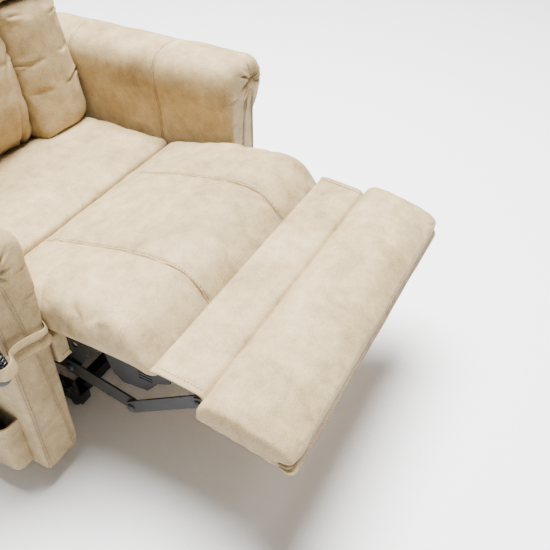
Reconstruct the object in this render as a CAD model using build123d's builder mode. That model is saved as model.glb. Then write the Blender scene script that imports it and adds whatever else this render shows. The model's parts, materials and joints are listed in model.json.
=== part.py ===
from build123d import *
import os
from math import atan2, cos, degrees, hypot, pi, radians, sin, tan

# A power lift recliner, in millimetres. X runs across the chair, the footrest points to -Y,
# Z is up, and the floor is Z = 0. The chair is drawn with its footrest out and its back up.

# ---- driving dimensions -------------------------------------------------------------------
SEAT_HALF = 341.0  # centre plane to an arm's inner face
ARM_OUTER = 437.0  # centre plane to an arm's outer face
ROLL_INNER = 328.0  # centre plane to the rolled arm top, inside
ROLL_OUTER = 490.0  # centre plane to the rolled arm top, outside
ARM_FRONT = -123.0
ARM_REAR = 500.0
ARM_BOTTOM = 55.0
ARM_TOP = 636.0
ROLL_BOTTOM = 506.0
COVER = 11.0  # padded cover over the arm's boards

SEAM_Y = 72.0  # where the seat cushion meets the chaise pad
SEAT_TOP = 411.0
SEAT_UNDER = 347.0
SEAT_REAR = 405.0
CUSHION_HALF = 337.0

PAD_UNDER = 375.0
PAD_CROWN = 452.0
PAD_FRONT = -368.0
PAD_HALF = 348.0
END_BACK = -475.0
END_FRONT = -657.0
END_HALF = 375.0
END_SLOPE = 11.5  # degrees that the end pad slopes down towards the toes
END_THICK = 52.0

GAP = 0.3  # half of the space between two soft parts
PLATE = 4.0  # steel plate and flat bar
PIVOT_R = 6.0
RUN_CLEAR = 0.05  # radial clearance of a pivot

# x planes of the flat steel parts, from the middle outwards
LIFT_ARM_X = 250.0
STAY_X = 262.0
LEG_BRACKET_X = 292.0
SIDE_PLATE_X = 299.0
LINK_A_X = 306.0
LINK_B_X = 313.0
END_BRACKET_X = 320.0

# pivots, as (y, z)
LEG_HINGE = (-217.0, 356.0)
LINK_ROOT = (-120.0, 259.0)
ELBOW = (-271.0, 227.0)
LINK_TIP = (-441.0, 345.0)
BACK_HINGE = (450.0, 300.0)
LIFT_ROOT = (20.0, 62.0)
LIFT_TIP = (420.0, 112.0)
STAY_TIP = (330.0, 160.0)
MOTOR_PIVOT = (440.0, 78.0)
ROD_PIVOT = (140.0, 118.0)

# travel of each motion, in degrees and millimetres
LEG_FOLD = 85.0
END_SLIDE = 100.0
LIFT_SWING = 35.0
LIFT_TILT = 20.0
BACK_LEAN = 8.0  # the back's slope at rest

SIDES = (("left", 1), ("right", -1))
os.makedirs("parts", exist_ok=True)


# ---- helpers ------------------------------------------------------------------------------
def save(builder, name):
    """Label a finished sub-part and write it."""
    builder.part.label = name
    export_step(builder.part, f"parts/{name}.step")


def turned(point, pivot, angle):
    """A (y, z) point after a right-handed turn about +X, in degrees."""
    y, z = point[0] - pivot[0], point[1] - pivot[1]
    c, s = cos(radians(angle)), sin(radians(angle))
    return (pivot[0] + y * c - z * s, pivot[1] + y * s + z * c)


def elbow(root, root_link, tip, tip_link):
    """The lower meeting point of two links of known length between root and tip."""
    dy, dz = tip[0] - root[0], tip[1] - root[1]
    span = hypot(dy, dz)
    along = (root_link**2 - tip_link**2 + span**2) / (2 * span)
    drop = (root_link**2 - along**2) ** 0.5
    sense = 1 if dy < 0 else -1
    across_y, across_z = -dz / span * sense, dy / span * sense
    return (
        root[0] + dy / span * along + across_y * drop,
        root[1] + dz / span * along + across_z * drop,
    )


def bearing(start, end):
    """Direction from one (y, z) point to another, in degrees."""
    return degrees(atan2(end[1] - start[1], end[0] - start[0])) % 360


def plate_sketch(points, x):
    """A closed (y, z) outline on the plane at x."""
    with BuildSketch(Plane.YZ.offset(x)) as outline:
        with BuildLine():
            Polyline(*points, close=True)
        make_face()
    return outline.sketch


def slab(points, side, x_low, x_high, mode=Mode.ADD):
    """A (y, z) outline made solid between two distances from the centre plane."""
    start = min(side * x_low, side * x_high)
    extrude(plate_sketch(points, start), amount=x_high - x_low, mode=mode)


def block(x_range, y_range, z_range, mode=Mode.ADD):
    """A box between pairs of limits."""
    size = [high - low for low, high in (x_range, y_range, z_range)]
    middle = [(high + low) / 2 for low, high in (x_range, y_range, z_range)]
    with Locations(tuple(middle)):
        Box(*size, mode=mode)


def across(pivot, side, x_low, x_high, radius, mode=Mode.ADD):
    """A round pin or hole along X at a (y, z) pivot."""
    start = min(side * x_low, side * x_high)
    with BuildSketch(Plane.YZ.offset(start)) as disc:
        with Locations(pivot):
            Circle(radius)
    extrude(disc.sketch, amount=x_high - x_low, mode=mode)


def bar_outline(start, end, width):
    """A flat bar with round ends, as a sketch of (y, z) at x = 0."""
    length = hypot(end[0] - start[0], end[1] - start[1])
    middle = ((start[0] + end[0]) / 2, (start[1] + end[1]) / 2)
    with BuildSketch(Plane.YZ) as outline:
        with Locations(middle):
            SlotCenterToCenter(length, width, rotation=bearing(start, end))
    return outline.sketch


def flat_bar(start, end, width, side, x_low):
    """A flat bar with round ends, one plate thick."""
    low = min(side * x_low, side * (x_low + PLATE))
    extrude(bar_outline(start, end, width).moved(Location((low, 0, 0))), amount=PLATE)


def back_point(depth, height):
    """A (y, z) point from its depth behind the back hinge and its height along the back."""
    lean = radians(BACK_LEAN)
    return (
        BACK_HINGE[0] + height * sin(lean) + depth * cos(lean),
        BACK_HINGE[1] + height * cos(lean) - depth * sin(lean),
    )


def back_box(depths, heights):
    """The (y, z) corners of a block in the leaning back."""
    return [
        back_point(depths[0], heights[0]),
        back_point(depths[1], heights[0]),
        back_point(depths[1], heights[1]),
        back_point(depths[0], heights[1]),
    ]


# ---- worked-out linkage positions ---------------------------------------------------------
TIP_FOLDED = turned((LINK_TIP[0] + END_SLIDE, LINK_TIP[1]), LEG_HINGE, LEG_FOLD)
LINK_A = hypot(ELBOW[0] - LINK_ROOT[0], ELBOW[1] - LINK_ROOT[1])
LINK_B = hypot(ELBOW[0] - LINK_TIP[0], ELBOW[1] - LINK_TIP[1])
ELBOW_FOLDED = elbow(LINK_ROOT, LINK_A, TIP_FOLDED, LINK_B)
LIFT_TIP_UP = turned(LIFT_TIP, LIFT_ROOT, LIFT_SWING)
STAY_OFFSET = (STAY_TIP[0] - LIFT_TIP[0], STAY_TIP[1] - LIFT_TIP[1])
STAY_TURNED = turned(STAY_OFFSET, (0, 0), LIFT_TILT)
STAY_TIP_UP = (LIFT_TIP_UP[0] + STAY_TURNED[0], LIFT_TIP_UP[1] + STAY_TURNED[1])
STAY_ROOT_Z = 78.0
STAY_RUN = (STAY_TIP_UP[0] - STAY_TIP[0], STAY_TIP_UP[1] - STAY_TIP[1])
STAY_MID = ((STAY_TIP[0] + STAY_TIP_UP[0]) / 2, (STAY_TIP[1] + STAY_TIP_UP[1]) / 2)
STAY_ROOT = (STAY_MID[0] - (STAY_ROOT_Z - STAY_MID[1]) * STAY_RUN[1] / STAY_RUN[0], STAY_ROOT_Z)
print("elbow", ELBOW, "folded", ELBOW_FOLDED, "tip folded", TIP_FOLDED, "stay root", STAY_ROOT)

# ---- base ---------------------------------------------------------------------------------
RAIL = 30.0
RAIL_X = 230.0
RAIL_LOW = 18.0
RAIL_HIGH = RAIL_LOW + RAIL
BASE_FRONT = -40.0
BASE_REAR = 470.0
WALL = 2.0
BOSS_R = 18.0

for name, side in SIDES:
    with BuildPart() as base_rail:
        x = side * RAIL_X
        block((x - RAIL / 2, x + RAIL / 2), (BASE_FRONT, BASE_REAR), (RAIL_LOW, RAIL_HIGH))
        for root in (LIFT_ROOT, STAY_ROOT):
            outline = [
                (root[0] - BOSS_R, RAIL_HIGH - WALL),
                (root[0] + BOSS_R, RAIL_HIGH - WALL),
                (root[0] + BOSS_R * 0.6, root[1] + BOSS_R * 0.8),
                (root[0] - BOSS_R * 0.6, root[1] + BOSS_R * 0.8),
            ]
            slab(outline, side, LIFT_ARM_X - 10, LIFT_ARM_X - 1.5)
        across(LIFT_ROOT, side, LIFT_ARM_X - 2, LIFT_ARM_X + PLATE + 3, PIVOT_R)
        across(STAY_ROOT, side, LIFT_ARM_X - 2, STAY_X + PLATE + 3, PIVOT_R)
    save(base_rail, f"base_rail_{name}")

with BuildPart() as base_cross_tubes:
    inner = RAIL_X - RAIL / 2
    for y in (BASE_FRONT + RAIL, BASE_REAR - RAIL):
        block((-inner, inner), (y - RAIL / 2, y + RAIL / 2), (RAIL_LOW, RAIL_HIGH))
    fillet(base_cross_tubes.edges().filter_by(Axis.X), WALL)
save(base_cross_tubes, "base_cross_tubes")

GLIDE_R = 17.0
with BuildPart() as floor_glides:
    with BuildSketch(Plane.XY):
        for x in (-RAIL_X, RAIL_X):
            with Locations((x, BASE_FRONT + RAIL), (x, BASE_REAR - RAIL)):
                Circle(GLIDE_R * 0.8)
    extrude(amount=RAIL_LOW, taper=-8)
save(floor_glides, "floor_glides")

CLEVIS_IN = 31.0
CLEVIS_OUT = 37.0
with BuildPart() as motor_clevis:
    foot = BASE_REAR - RAIL
    block((-CLEVIS_OUT, CLEVIS_OUT), (foot - RAIL / 2, foot + RAIL / 2), (RAIL_HIGH, RAIL_HIGH + 4))
    for side in (-1, 1):
        ear = [
            (foot - RAIL / 2, RAIL_HIGH),
            (foot + RAIL / 2, RAIL_HIGH),
            (foot + 14, MOTOR_PIVOT[1] + 14),
            (foot - 14, MOTOR_PIVOT[1] + 14),
        ]
        slab(ear, side, CLEVIS_IN, CLEVIS_OUT)
    across(MOTOR_PIVOT, 1, -CLEVIS_OUT, CLEVIS_OUT, PIVOT_R)
save(motor_clevis, "motor_clevis")

SOCKET_X = 150.0
SOCKET_R = 3.0
with BuildPart() as power_inlet:
    y = BASE_REAR - RAIL
    block((SOCKET_X - 24, SOCKET_X + 24), (y - 14, y + 22), (RAIL_HIGH, RAIL_HIGH + 26))
    fillet(power_inlet.edges().filter_by(Axis.Z), 4)
    with BuildSketch(Plane.XZ.offset(-(y + 22))):
        with Locations((SOCKET_X - 10, RAIL_HIGH + 13), (SOCKET_X + 10, RAIL_HIGH + 13)):
            Circle(SOCKET_R)
    extrude(amount=12, mode=Mode.SUBTRACT)
save(power_inlet, "power_inlet")

# ---- lift arms and actuator ---------------------------------------------------------------
TORQUE_R = 16.0
ROD_R = 10.0
ROD_EYE_R = 21.0
ROD_EYE_BORE = 15.0  # wide, because the rod's straight stroke only nears the arm's arc
ROD_EYE_HALF = 9.0
with BuildPart() as lift_arms:
    for side in (-1, 1):
        flat_bar(LIFT_ROOT, LIFT_TIP, 40, side, LIFT_ARM_X)
        for pivot in (LIFT_ROOT, LIFT_TIP):
            across(pivot, side, LIFT_ARM_X - 1, LIFT_ARM_X + 6, PIVOT_R + RUN_CLEAR, Mode.SUBTRACT)
save(lift_arms, "lift_arms")

TORQUE_AXIS = (ROD_PIVOT[0] - 44, ROD_PIVOT[1] - 22)
with BuildPart() as lift_torque_tube:
    across(TORQUE_AXIS, 1, -LIFT_ARM_X, LIFT_ARM_X, TORQUE_R)
    for side in (-1, 1):
        ear = [
            (TORQUE_AXIS[0] - 12, TORQUE_AXIS[1] + 8),
            (TORQUE_AXIS[0] + 8, TORQUE_AXIS[1] - 12),
            (ROD_PIVOT[0] + 12, ROD_PIVOT[1] - 8),
            (ROD_PIVOT[0], ROD_PIVOT[1] + 12),
        ]
        slab(ear, side, ROD_EYE_HALF + 2, ROD_EYE_HALF + 7)
    across(ROD_PIVOT, 1, -(ROD_EYE_HALF + 3), ROD_EYE_HALF + 3, PIVOT_R)
save(lift_torque_tube, "lift_torque_tube")

with BuildPart() as stay_links:
    for side in (-1, 1):
        flat_bar(STAY_ROOT, STAY_TIP, 26, side, STAY_X)
        across(STAY_ROOT, side, STAY_X - 1, STAY_X + 6, PIVOT_R + RUN_CLEAR, Mode.SUBTRACT)
save(stay_links, "stay_links")

REACH = hypot(ROD_PIVOT[0] - MOTOR_PIVOT[0], ROD_PIVOT[1] - MOTOR_PIVOT[1])
AIM = ((ROD_PIVOT[0] - MOTOR_PIVOT[0]) / REACH, (ROD_PIVOT[1] - MOTOR_PIVOT[1]) / REACH)


def actuator_plane(distance):
    """The plane square to the actuator, at a distance from the motor's pivot."""
    origin = (0, MOTOR_PIVOT[0] + AIM[0] * distance, MOTOR_PIVOT[1] + AIM[1] * distance)
    return Plane(origin=origin, x_dir=(1, 0, 0), z_dir=(0, AIM[0], AIM[1]))


TUBE_START = 92.0
TUBE_END = REACH - 34
MOTOR_CAN_R = 22.0
with BuildPart() as motor_housing:
    across(MOTOR_PIVOT, 1, -CLEVIS_IN + 1, CLEVIS_IN - 1, 17)
    with BuildSketch(actuator_plane(0)):
        RectangleRounded(2 * CLEVIS_IN - 12, 30, 6)
    extrude(amount=40)
    with BuildSketch(actuator_plane(26)):
        RectangleRounded(2 * CLEVIS_IN - 2, 58, 8)
    extrude(amount=TUBE_START - 26)
    across(MOTOR_PIVOT, 1, -CLEVIS_IN, CLEVIS_IN, PIVOT_R + RUN_CLEAR, Mode.SUBTRACT)
    can = (MOTOR_PIVOT[0] + AIM[0] * 60, MOTOR_PIVOT[1] + AIM[1] * 60)
    across(can, 1, CLEVIS_IN - 3, CLEVIS_IN + 96, MOTOR_CAN_R)
    fillet(motor_housing.faces().sort_by(Axis.X)[-1].edges(), 5)
save(motor_housing, "motor_housing")

with BuildPart() as actuator_tube:
    with BuildSketch(actuator_plane(TUBE_START)):
        Circle(18)
    extrude(amount=TUBE_END - TUBE_START)
    with BuildSketch(actuator_plane(TUBE_START + 8)):
        Circle(ROD_R + RUN_CLEAR)
    extrude(amount=TUBE_END, mode=Mode.SUBTRACT)
save(actuator_tube, "actuator_tube")

with BuildPart() as actuator_rod:
    with BuildSketch(actuator_plane(TUBE_START + 12)):
        Circle(ROD_R)
    extrude(amount=REACH - ROD_EYE_R - TUBE_START - 8)
    across(ROD_PIVOT, 1, -ROD_EYE_HALF, ROD_EYE_HALF, ROD_EYE_R)
    across(ROD_PIVOT, 1, -ROD_EYE_HALF - 1, ROD_EYE_HALF + 1, ROD_EYE_BORE, Mode.SUBTRACT)
save(actuator_rod, "actuator_rod")

# ---- seat frame ---------------------------------------------------------------------------
SIDE_PLATE = [
    (-232.0, 350.0),
    (-226.0, 369.0),
    (-150.0, 368.0),
    (-96.0, 340.0),
    (400.0, 338.0),
    (440.0, 321.0),
    (468.0, 312.0),
    (470.0, 288.0),
    (446.0, 268.0),
    (440.0, 96.0),
    (404.0, 92.0),
    (316.0, 142.0),
    (296.0, 220.0),
    (-60.0, 236.0),
    (-134.0, 240.0),
    (-140.0, 262.0),
    (-176.0, 322.0),
]
PLATE_HOLES = [(-186.0, 346.0), (-140.0, 326.0), (-120.0, 296.0), (-70.0, 300.0), (-70.0, 262.0)]
for name, side in SIDES:
    with BuildPart() as side_plate:
        slab(SIDE_PLATE, side, SIDE_PLATE_X, SIDE_PLATE_X + PLATE)
        for hole in PLATE_HOLES:
            across(hole, side, SIDE_PLATE_X - 1, SIDE_PLATE_X + PLATE + 1, 7, Mode.SUBTRACT)
        rib = [(-30.0, 250.0), (380.0, 250.0), (380.0, 258.0), (-30.0, 258.0)]
        slab(rib, side, SIDE_PLATE_X - 3, SIDE_PLATE_X + 1)
        across(LEG_HINGE, side, LEG_BRACKET_X - 2, SIDE_PLATE_X + 1, PIVOT_R)
        across(LINK_ROOT, side, SIDE_PLATE_X + 1, LINK_A_X + PLATE + 2, PIVOT_R)
        across(BACK_HINGE, side, SIDE_PLATE_X + 1, LINK_A_X + PLATE + 2, PIVOT_R)
        across(LIFT_TIP, side, LIFT_ARM_X - 2, SIDE_PLATE_X + 1, PIVOT_R)
        across(STAY_TIP, side, STAY_X + PLATE + 1, SIDE_PLATE_X + 1, PIVOT_R)
    save(side_plate, f"mechanism_plate_{name}")

RAIL_TOP = 336.0
with BuildPart() as seat_rail_front:
    block((-290, 290), (-98, -62), (276, RAIL_TOP))
    fillet(seat_rail_front.edges().filter_by(Axis.X), 3)
save(seat_rail_front, "seat_rail_front")

with BuildPart() as seat_rail_rear:
    block((-290, 290), (372, 404), (280, RAIL_TOP))
    fillet(seat_rail_rear.edges().filter_by(Axis.X), 3)
save(seat_rail_rear, "seat_rail_rear")

with BuildPart() as seat_side_rails:
    for side in (-1, 1):
        low, high = sorted((side * 266.0, side * 290.0))
        block((low, high), (-61.5, 371.5), (288, RAIL_TOP))
save(seat_side_rails, "seat_side_rails")

SPRING_R = 1.8
SPRING_Z = RAIL_TOP + 2.2
SPRING_HALF = 19.0
with BuildPart() as seat_springs:
    for x in (-204, -102, 0, 102, 204):
        waves = 11
        step = (372 + 62) / waves
        points = [(x, -80, SPRING_Z), (x, -62, SPRING_Z)]
        for i in range(waves):
            offset = SPRING_HALF if i % 2 else -SPRING_HALF
            points.append((x + offset, -62 + step * (i + 0.25), SPRING_Z))
            points.append((x + offset, -62 + step * (i + 0.75), SPRING_Z))
        points += [(x, 372, SPRING_Z), (x, 390, SPRING_Z)]
        with BuildLine() as wire:
            FilletPolyline(*points, radius=7.5)
        with BuildSketch(Plane(origin=points[0], z_dir=(0, 1, 0))):
            Circle(SPRING_R)
        sweep(path=wire.line)
save(seat_springs, "seat_springs")

with BuildPart() as seat_deck:
    block((-292, 292), (-98, 402), (SPRING_Z + 2.4, SEAT_UNDER - GAP))
save(seat_deck, "seat_deck")

# ---- seat upholstery ----------------------------------------------------------------------
with BuildPart() as seat_cushion:
    outline = [
        (SEAM_Y + GAP, SEAT_UNDER),
        (SEAM_Y + GAP, SEAT_TOP - 6),
        (SEAM_Y + 14, SEAT_TOP),
        (300, SEAT_TOP - 1),
        (360, SEAT_TOP - 8),
        (SEAT_REAR, SEAT_TOP - 12),
        (SEAT_REAR, SEAT_UNDER),
    ]
    slab(outline, 1, -CUSHION_HALF, CUSHION_HALF)
save(seat_cushion, "seat_cushion")

with BuildPart() as front_apron:
    block((-289, 289), (ARM_FRONT, -99), (272, 366))
    fillet(front_apron.edges().filter_by(Axis.X), 8)
save(front_apron, "front_apron")

with BuildPart() as chaise_pad_rear:
    outline = [
        (SEAM_Y - GAP, SEAT_UNDER + 2),
        (SEAM_Y - GAP, SEAT_TOP - 6),
        (SEAM_Y - 16, SEAT_TOP + 4),
        (0, PAD_CROWN - 18),
        (-80, PAD_CROWN - 4),
        (-150, PAD_CROWN),
        (LEG_HINGE[0] + 4 + GAP, PAD_CROWN + 1),
        (LEG_HINGE[0] + 4 + GAP, PAD_UNDER),
        (-104, PAD_UNDER),
        (-90, SEAT_UNDER + 2),
    ]
    slab(outline, 1, -CUSHION_HALF, CUSHION_HALF)
save(chaise_pad_rear, "chaise_pad_rear")

# ---- arms ---------------------------------------------------------------------------------
FRAME_FRONT = ARM_FRONT + COVER
BOARD = 18.0
for name, side in SIDES:
    with BuildPart() as arm_frame:
        inner, outer = SEAT_HALF + COVER, ARM_OUTER - COVER
        low, top = ARM_BOTTOM + 6, ROLL_BOTTOM - 2
        middle = side * (inner + outer) / 2
        block((middle - BOARD / 2, middle + BOARD / 2), (FRAME_FRONT, ARM_REAR - COVER), (low, top))
        width = tuple(sorted((side * inner, side * outer)))
        block(width, (FRAME_FRONT, FRAME_FRONT + BOARD * 2), (low, top))
        block(width, (ARM_REAR - COVER - BOARD * 2, ARM_REAR - COVER), (low, top))
        block(width, (FRAME_FRONT, ARM_REAR - COVER), (top - BOARD, top))
        block(width, (FRAME_FRONT, ARM_REAR - COVER), (low, low + BOARD))
    save(arm_frame, f"arm_frame_{name}")

    with BuildPart() as arm_inner_panel:
        x_range = tuple(sorted((side * SEAT_HALF, side * (SEAT_HALF + COVER))))
        block(x_range, (FRAME_FRONT, ARM_REAR - COVER), (ARM_BOTTOM, ROLL_BOTTOM - 2))
    save(arm_inner_panel, f"arm_inner_panel_{name}")

    with BuildPart() as arm_outer_panel:
        x_range = tuple(sorted((side * (ARM_OUTER - COVER), side * ARM_OUTER)))
        block(x_range, (FRAME_FRONT, ARM_REAR), (ARM_BOTTOM, ROLL_BOTTOM - 2))
    save(arm_outer_panel, f"arm_outer_panel_{name}")

    with BuildPart() as arm_front_panel:
        x_range = tuple(sorted((side * SEAT_HALF, side * ARM_OUTER)))
        block(x_range, (ARM_FRONT, FRAME_FRONT), (ARM_BOTTOM, ROLL_BOTTOM - 2))
        fillet(arm_front_panel.faces().sort_by(Axis.Y)[0].edges().filter_by(Axis.Z), 6)
    save(arm_front_panel, f"arm_front_panel_{name}")

    with BuildPart() as arm_pad:
        centre = side * (ROLL_INNER + ROLL_OUTER) / 2
        with BuildSketch(Plane.XZ.offset(-ARM_REAR)):
            with BuildLine():
                Spline(
                    (side * 350, ROLL_BOTTOM),
                    (side * ROLL_INNER, 580),
                    (side * 362, 627),
                    (side * 412, ARM_TOP),
                    (side * 462, 612),
                    (side * ROLL_OUTER, 552),
                    (side * 466, ROLL_BOTTOM + 4),
                    tangents=[(-side * 0.7, 0.7), (-side * 0.9, -0.4)],
                )
                Line((side * 466, ROLL_BOTTOM + 4), (side * 350, ROLL_BOTTOM))
            make_face()
        extrude(amount=ARM_REAR - ARM_FRONT + 8)
    save(arm_pad, f"arm_pad_{name}")

# ---- footrest -----------------------------------------------------------------------------
with BuildPart() as legrest_board:
    block((-286, 286), (PAD_FRONT + 6, LEG_HINGE[0] - 8), (PAD_UNDER - 18.5, PAD_UNDER - GAP))
save(legrest_board, "legrest_board")

with BuildPart() as legrest_pad:
    outline = [
        (LEG_HINGE[0] + 4 - GAP, PAD_UNDER + 0.2),
        (LEG_HINGE[0] + 4 - GAP, PAD_CROWN + 1),
        (-300, PAD_CROWN),
        (-344, PAD_CROWN - 8),
        (-362, PAD_CROWN - 20),
        (PAD_FRONT, PAD_CROWN - 36),
        (PAD_FRONT, PAD_UNDER + 0.2),
    ]
    slab(outline, 1, -PAD_HALF, PAD_HALF)
save(legrest_pad, "legrest_pad")

with BuildPart() as legrest_brackets:
    outline = [
        (LEG_HINGE[0] + 14, LEG_HINGE[1] - 6),
        (LEG_HINGE[0] + 12, LEG_HINGE[1] + 12),
        (LEG_HINGE[0] - 10, PAD_UNDER - GAP),
        (PAD_FRONT + 8, PAD_UNDER - GAP),
        (PAD_FRONT + 8, PAD_UNDER - 52),
        (PAD_FRONT + 38, PAD_UNDER - 68),
        (PAD_FRONT + 66, PAD_UNDER - 102),
        (LEG_HINGE[0] - 26, PAD_UNDER - 110),
        (LEG_HINGE[0] - 4, PAD_UNDER - 92),
        (LEG_HINGE[0] + 10, LEG_HINGE[1] - 22),
    ]
    slots = [PAD_UNDER - 40 - 8 * row for row in range(5)]
    for side in (-1, 1):
        slab(outline, side, LEG_BRACKET_X, LEG_BRACKET_X + PLATE)
        for y in (-260, -300, -340):
            hole = (y, PAD_UNDER - 13)
            across(hole, side, LEG_BRACKET_X - 1, LEG_BRACKET_X + PLATE + 1, 4, Mode.SUBTRACT)
        for z in slots:
            slot = [(-318, z), (-286, z), (-286, z + 3), (-318, z + 3)]
            slab(slot, side, LEG_BRACKET_X - 1, LEG_BRACKET_X + PLATE + 1, Mode.SUBTRACT)
        bore = PIVOT_R + RUN_CLEAR
        across(LEG_HINGE, side, LEG_BRACKET_X - 1, LEG_BRACKET_X + PLATE + 1, bore, Mode.SUBTRACT)
save(legrest_brackets, "legrest_brackets")

FLAP_TOP = 414.0
FLAP_THICK = 3.0
with BuildPart() as leg_flap:
    outline = [
        (PAD_FRONT - 0.5, FLAP_TOP),
        (END_BACK + 0.5, FLAP_TOP - 3),
        (END_BACK + 0.5, FLAP_TOP - 3 - FLAP_THICK),
        (PAD_FRONT - 0.5, FLAP_TOP - FLAP_THICK),
    ]
    slab(outline, 1, -(PAD_HALF - 2), PAD_HALF - 2)
save(leg_flap, "leg_flap")


def end_point(along, up):
    """A (y, z) point on the sloping end rest, from its rear top edge."""
    slope = radians(END_SLOPE)
    y = END_BACK - along * cos(slope) + up * -sin(slope)
    return (y, FLAP_TOP - along * sin(slope) + up * cos(slope))


END_LENGTH = (END_BACK - END_FRONT) / cos(radians(END_SLOPE))
with BuildPart() as end_pad:
    outline = [
        end_point(3, -8),
        end_point(14, 2),
        end_point(60, 8),
        end_point(130, 6),
        end_point(END_LENGTH - 12, -2),
        end_point(END_LENGTH, -14),
        end_point(END_LENGTH, 6 - END_THICK),
        end_point(3, 10 - END_THICK),
    ]
    slab(outline, 1, -END_HALF, END_HALF)
save(end_pad, "end_pad")

with BuildPart() as end_board:
    outline = [
        end_point(8, 9.5 - END_THICK),
        end_point(END_LENGTH - 6, 5.5 - END_THICK),
        end_point(END_LENGTH - 6, -6 - END_THICK),
        end_point(8, -3 - END_THICK),
    ]
    slab(outline, 1, -318, 318)
save(end_board, "end_board")

with BuildPart() as end_brackets:
    outline = [
        (LINK_TIP[0] + 14, LINK_TIP[1] - 10),
        (LINK_TIP[0] + 10, LINK_TIP[1] + 12),
        end_point(6, 8 - END_THICK),
        end_point(110, 5 - END_THICK),
        end_point(110, -8 - END_THICK),
        end_point(30, -24 - END_THICK),
    ]
    for side in (-1, 1):
        slab(outline, side, END_BRACKET_X, END_BRACKET_X + PLATE)
        across(LINK_TIP, side, LINK_B_X - 2, END_BRACKET_X + 1, PIVOT_R)
save(end_brackets, "end_brackets")

REAR_LINK_WIDTH = 38.0
FRONT_LINK_WIDTH = 28.0
with BuildPart() as leg_links_rear:
    for side in (-1, 1):
        flat_bar(LINK_ROOT, ELBOW, REAR_LINK_WIDTH, side, LINK_A_X)
        bore = PIVOT_R + RUN_CLEAR
        across(LINK_ROOT, side, LINK_A_X - 1, LINK_A_X + PLATE + 1, bore, Mode.SUBTRACT)
        across(ELBOW, side, LINK_A_X + 1, LINK_B_X - 1, 8)
save(leg_links_rear, "leg_links_rear")

with BuildPart() as leg_links_front:
    for side in (-1, 1):
        flat_bar(ELBOW, LINK_TIP, FRONT_LINK_WIDTH, side, LINK_B_X)
        bore = PIVOT_R + RUN_CLEAR
        across(LINK_TIP, side, LINK_B_X - 1, LINK_B_X + PLATE + 1, bore, Mode.SUBTRACT)
save(leg_links_front, "leg_links_front")

# ---- back ---------------------------------------------------------------------------------
BACK_TOP = 792.0
BACK_HALF = 320.0
POST_OUT = 296.0
POST_IN = 262.0
POST_DEPTH = (-22.0, 26.0)
REAR_FACE = 94.9
with BuildPart() as back_posts:
    for side in (-1, 1):
        slab(back_box(POST_DEPTH, (42, BACK_TOP - 22)), side, POST_IN, POST_OUT)
save(back_posts, "back_posts")

with BuildPart() as back_rails:
    for height in (110, 420, BACK_TOP - 84):
        slab(back_box((-9, 9), (height, height + 60)), 1, -POST_IN, POST_IN)
save(back_rails, "back_rails")

with BuildPart() as back_brackets:
    for side in (-1, 1):
        outline = [
            back_point(-20, -14),
            back_point(20, -14),
            back_point(24, 40),
            back_point(22, 240),
            back_point(-18, 240),
            back_point(-22, 40),
        ]
        slab(outline, side, LINK_A_X, LINK_A_X + PLATE)
        slab(back_box((-16, 18), (70, 236)), side, POST_OUT, LINK_A_X + 1)
        bore = PIVOT_R + RUN_CLEAR
        across(BACK_HINGE, side, LINK_A_X - 1, LINK_A_X + PLATE + 1, bore, Mode.SUBTRACT)
save(back_brackets, "back_brackets")

with BuildPart() as back_outer_cover:
    slab(back_box((REAR_FACE - 12, REAR_FACE), (-60, BACK_TOP)), 1, -BACK_HALF, BACK_HALF)
    for side in (-1, 1):
        slab(back_box((-26, REAR_FACE - 12), (46, BACK_TOP)), side, BACK_HALF - 8, BACK_HALF)
    slab(back_box((-26, REAR_FACE - 12), (BACK_TOP - 10, BACK_TOP)), 1, -BACK_HALF, BACK_HALF)
save(back_outer_cover, "back_outer_cover")

PILLOW_REAR = -28.0
PILLOW_FRONT = -148.0
PILLOW_ROUND = 44.0
LOWER = (101.0, 430.0)
SHOULDER_TOP = 612.0
BOLSTER_IN = 152.0
with BuildPart() as back_centre_pad:
    slab(back_box((PILLOW_FRONT + 4, PILLOW_REAR), LOWER), 1, -BOLSTER_IN + 1, BOLSTER_IN - 1)
    fillet(back_centre_pad.edges().filter_by(Axis.X), 26)
save(back_centre_pad, "back_centre_pad")

for name, side in SIDES:
    with BuildPart() as back_bolster:
        slab(back_box((PILLOW_FRONT, PILLOW_REAR), LOWER), side, BOLSTER_IN, BACK_HALF - 2)
        fillet(back_bolster.edges().filter_by(Axis.X), 30)
    save(back_bolster, f"back_bolster_{name}")

with BuildPart() as shoulder_pillow:
    heights = (LOWER[1] + 2, SHOULDER_TOP)
    slab(back_box((PILLOW_FRONT - 12, PILLOW_REAR), heights), 1, -BACK_HALF, BACK_HALF)
    fillet(shoulder_pillow.edges().filter_by(Axis.X), PILLOW_ROUND)
save(shoulder_pillow, "shoulder_pillow")

with BuildPart() as head_pillow:
    heights = (SHOULDER_TOP + 2, BACK_TOP)
    slab(back_box((PILLOW_FRONT - 12, PILLOW_REAR), heights), 1, -BACK_HALF, BACK_HALF)
    fillet(head_pillow.edges().filter_by(Axis.X), PILLOW_ROUND)
save(head_pillow, "head_pillow")

# ---- lower rear panel ---------------------------------------------------------------------
with BuildPart() as rear_valance:
    block((-338, 338), (488, ARM_REAR), (ARM_BOTTOM + 5, 180))
save(rear_valance, "rear_valance")

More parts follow.
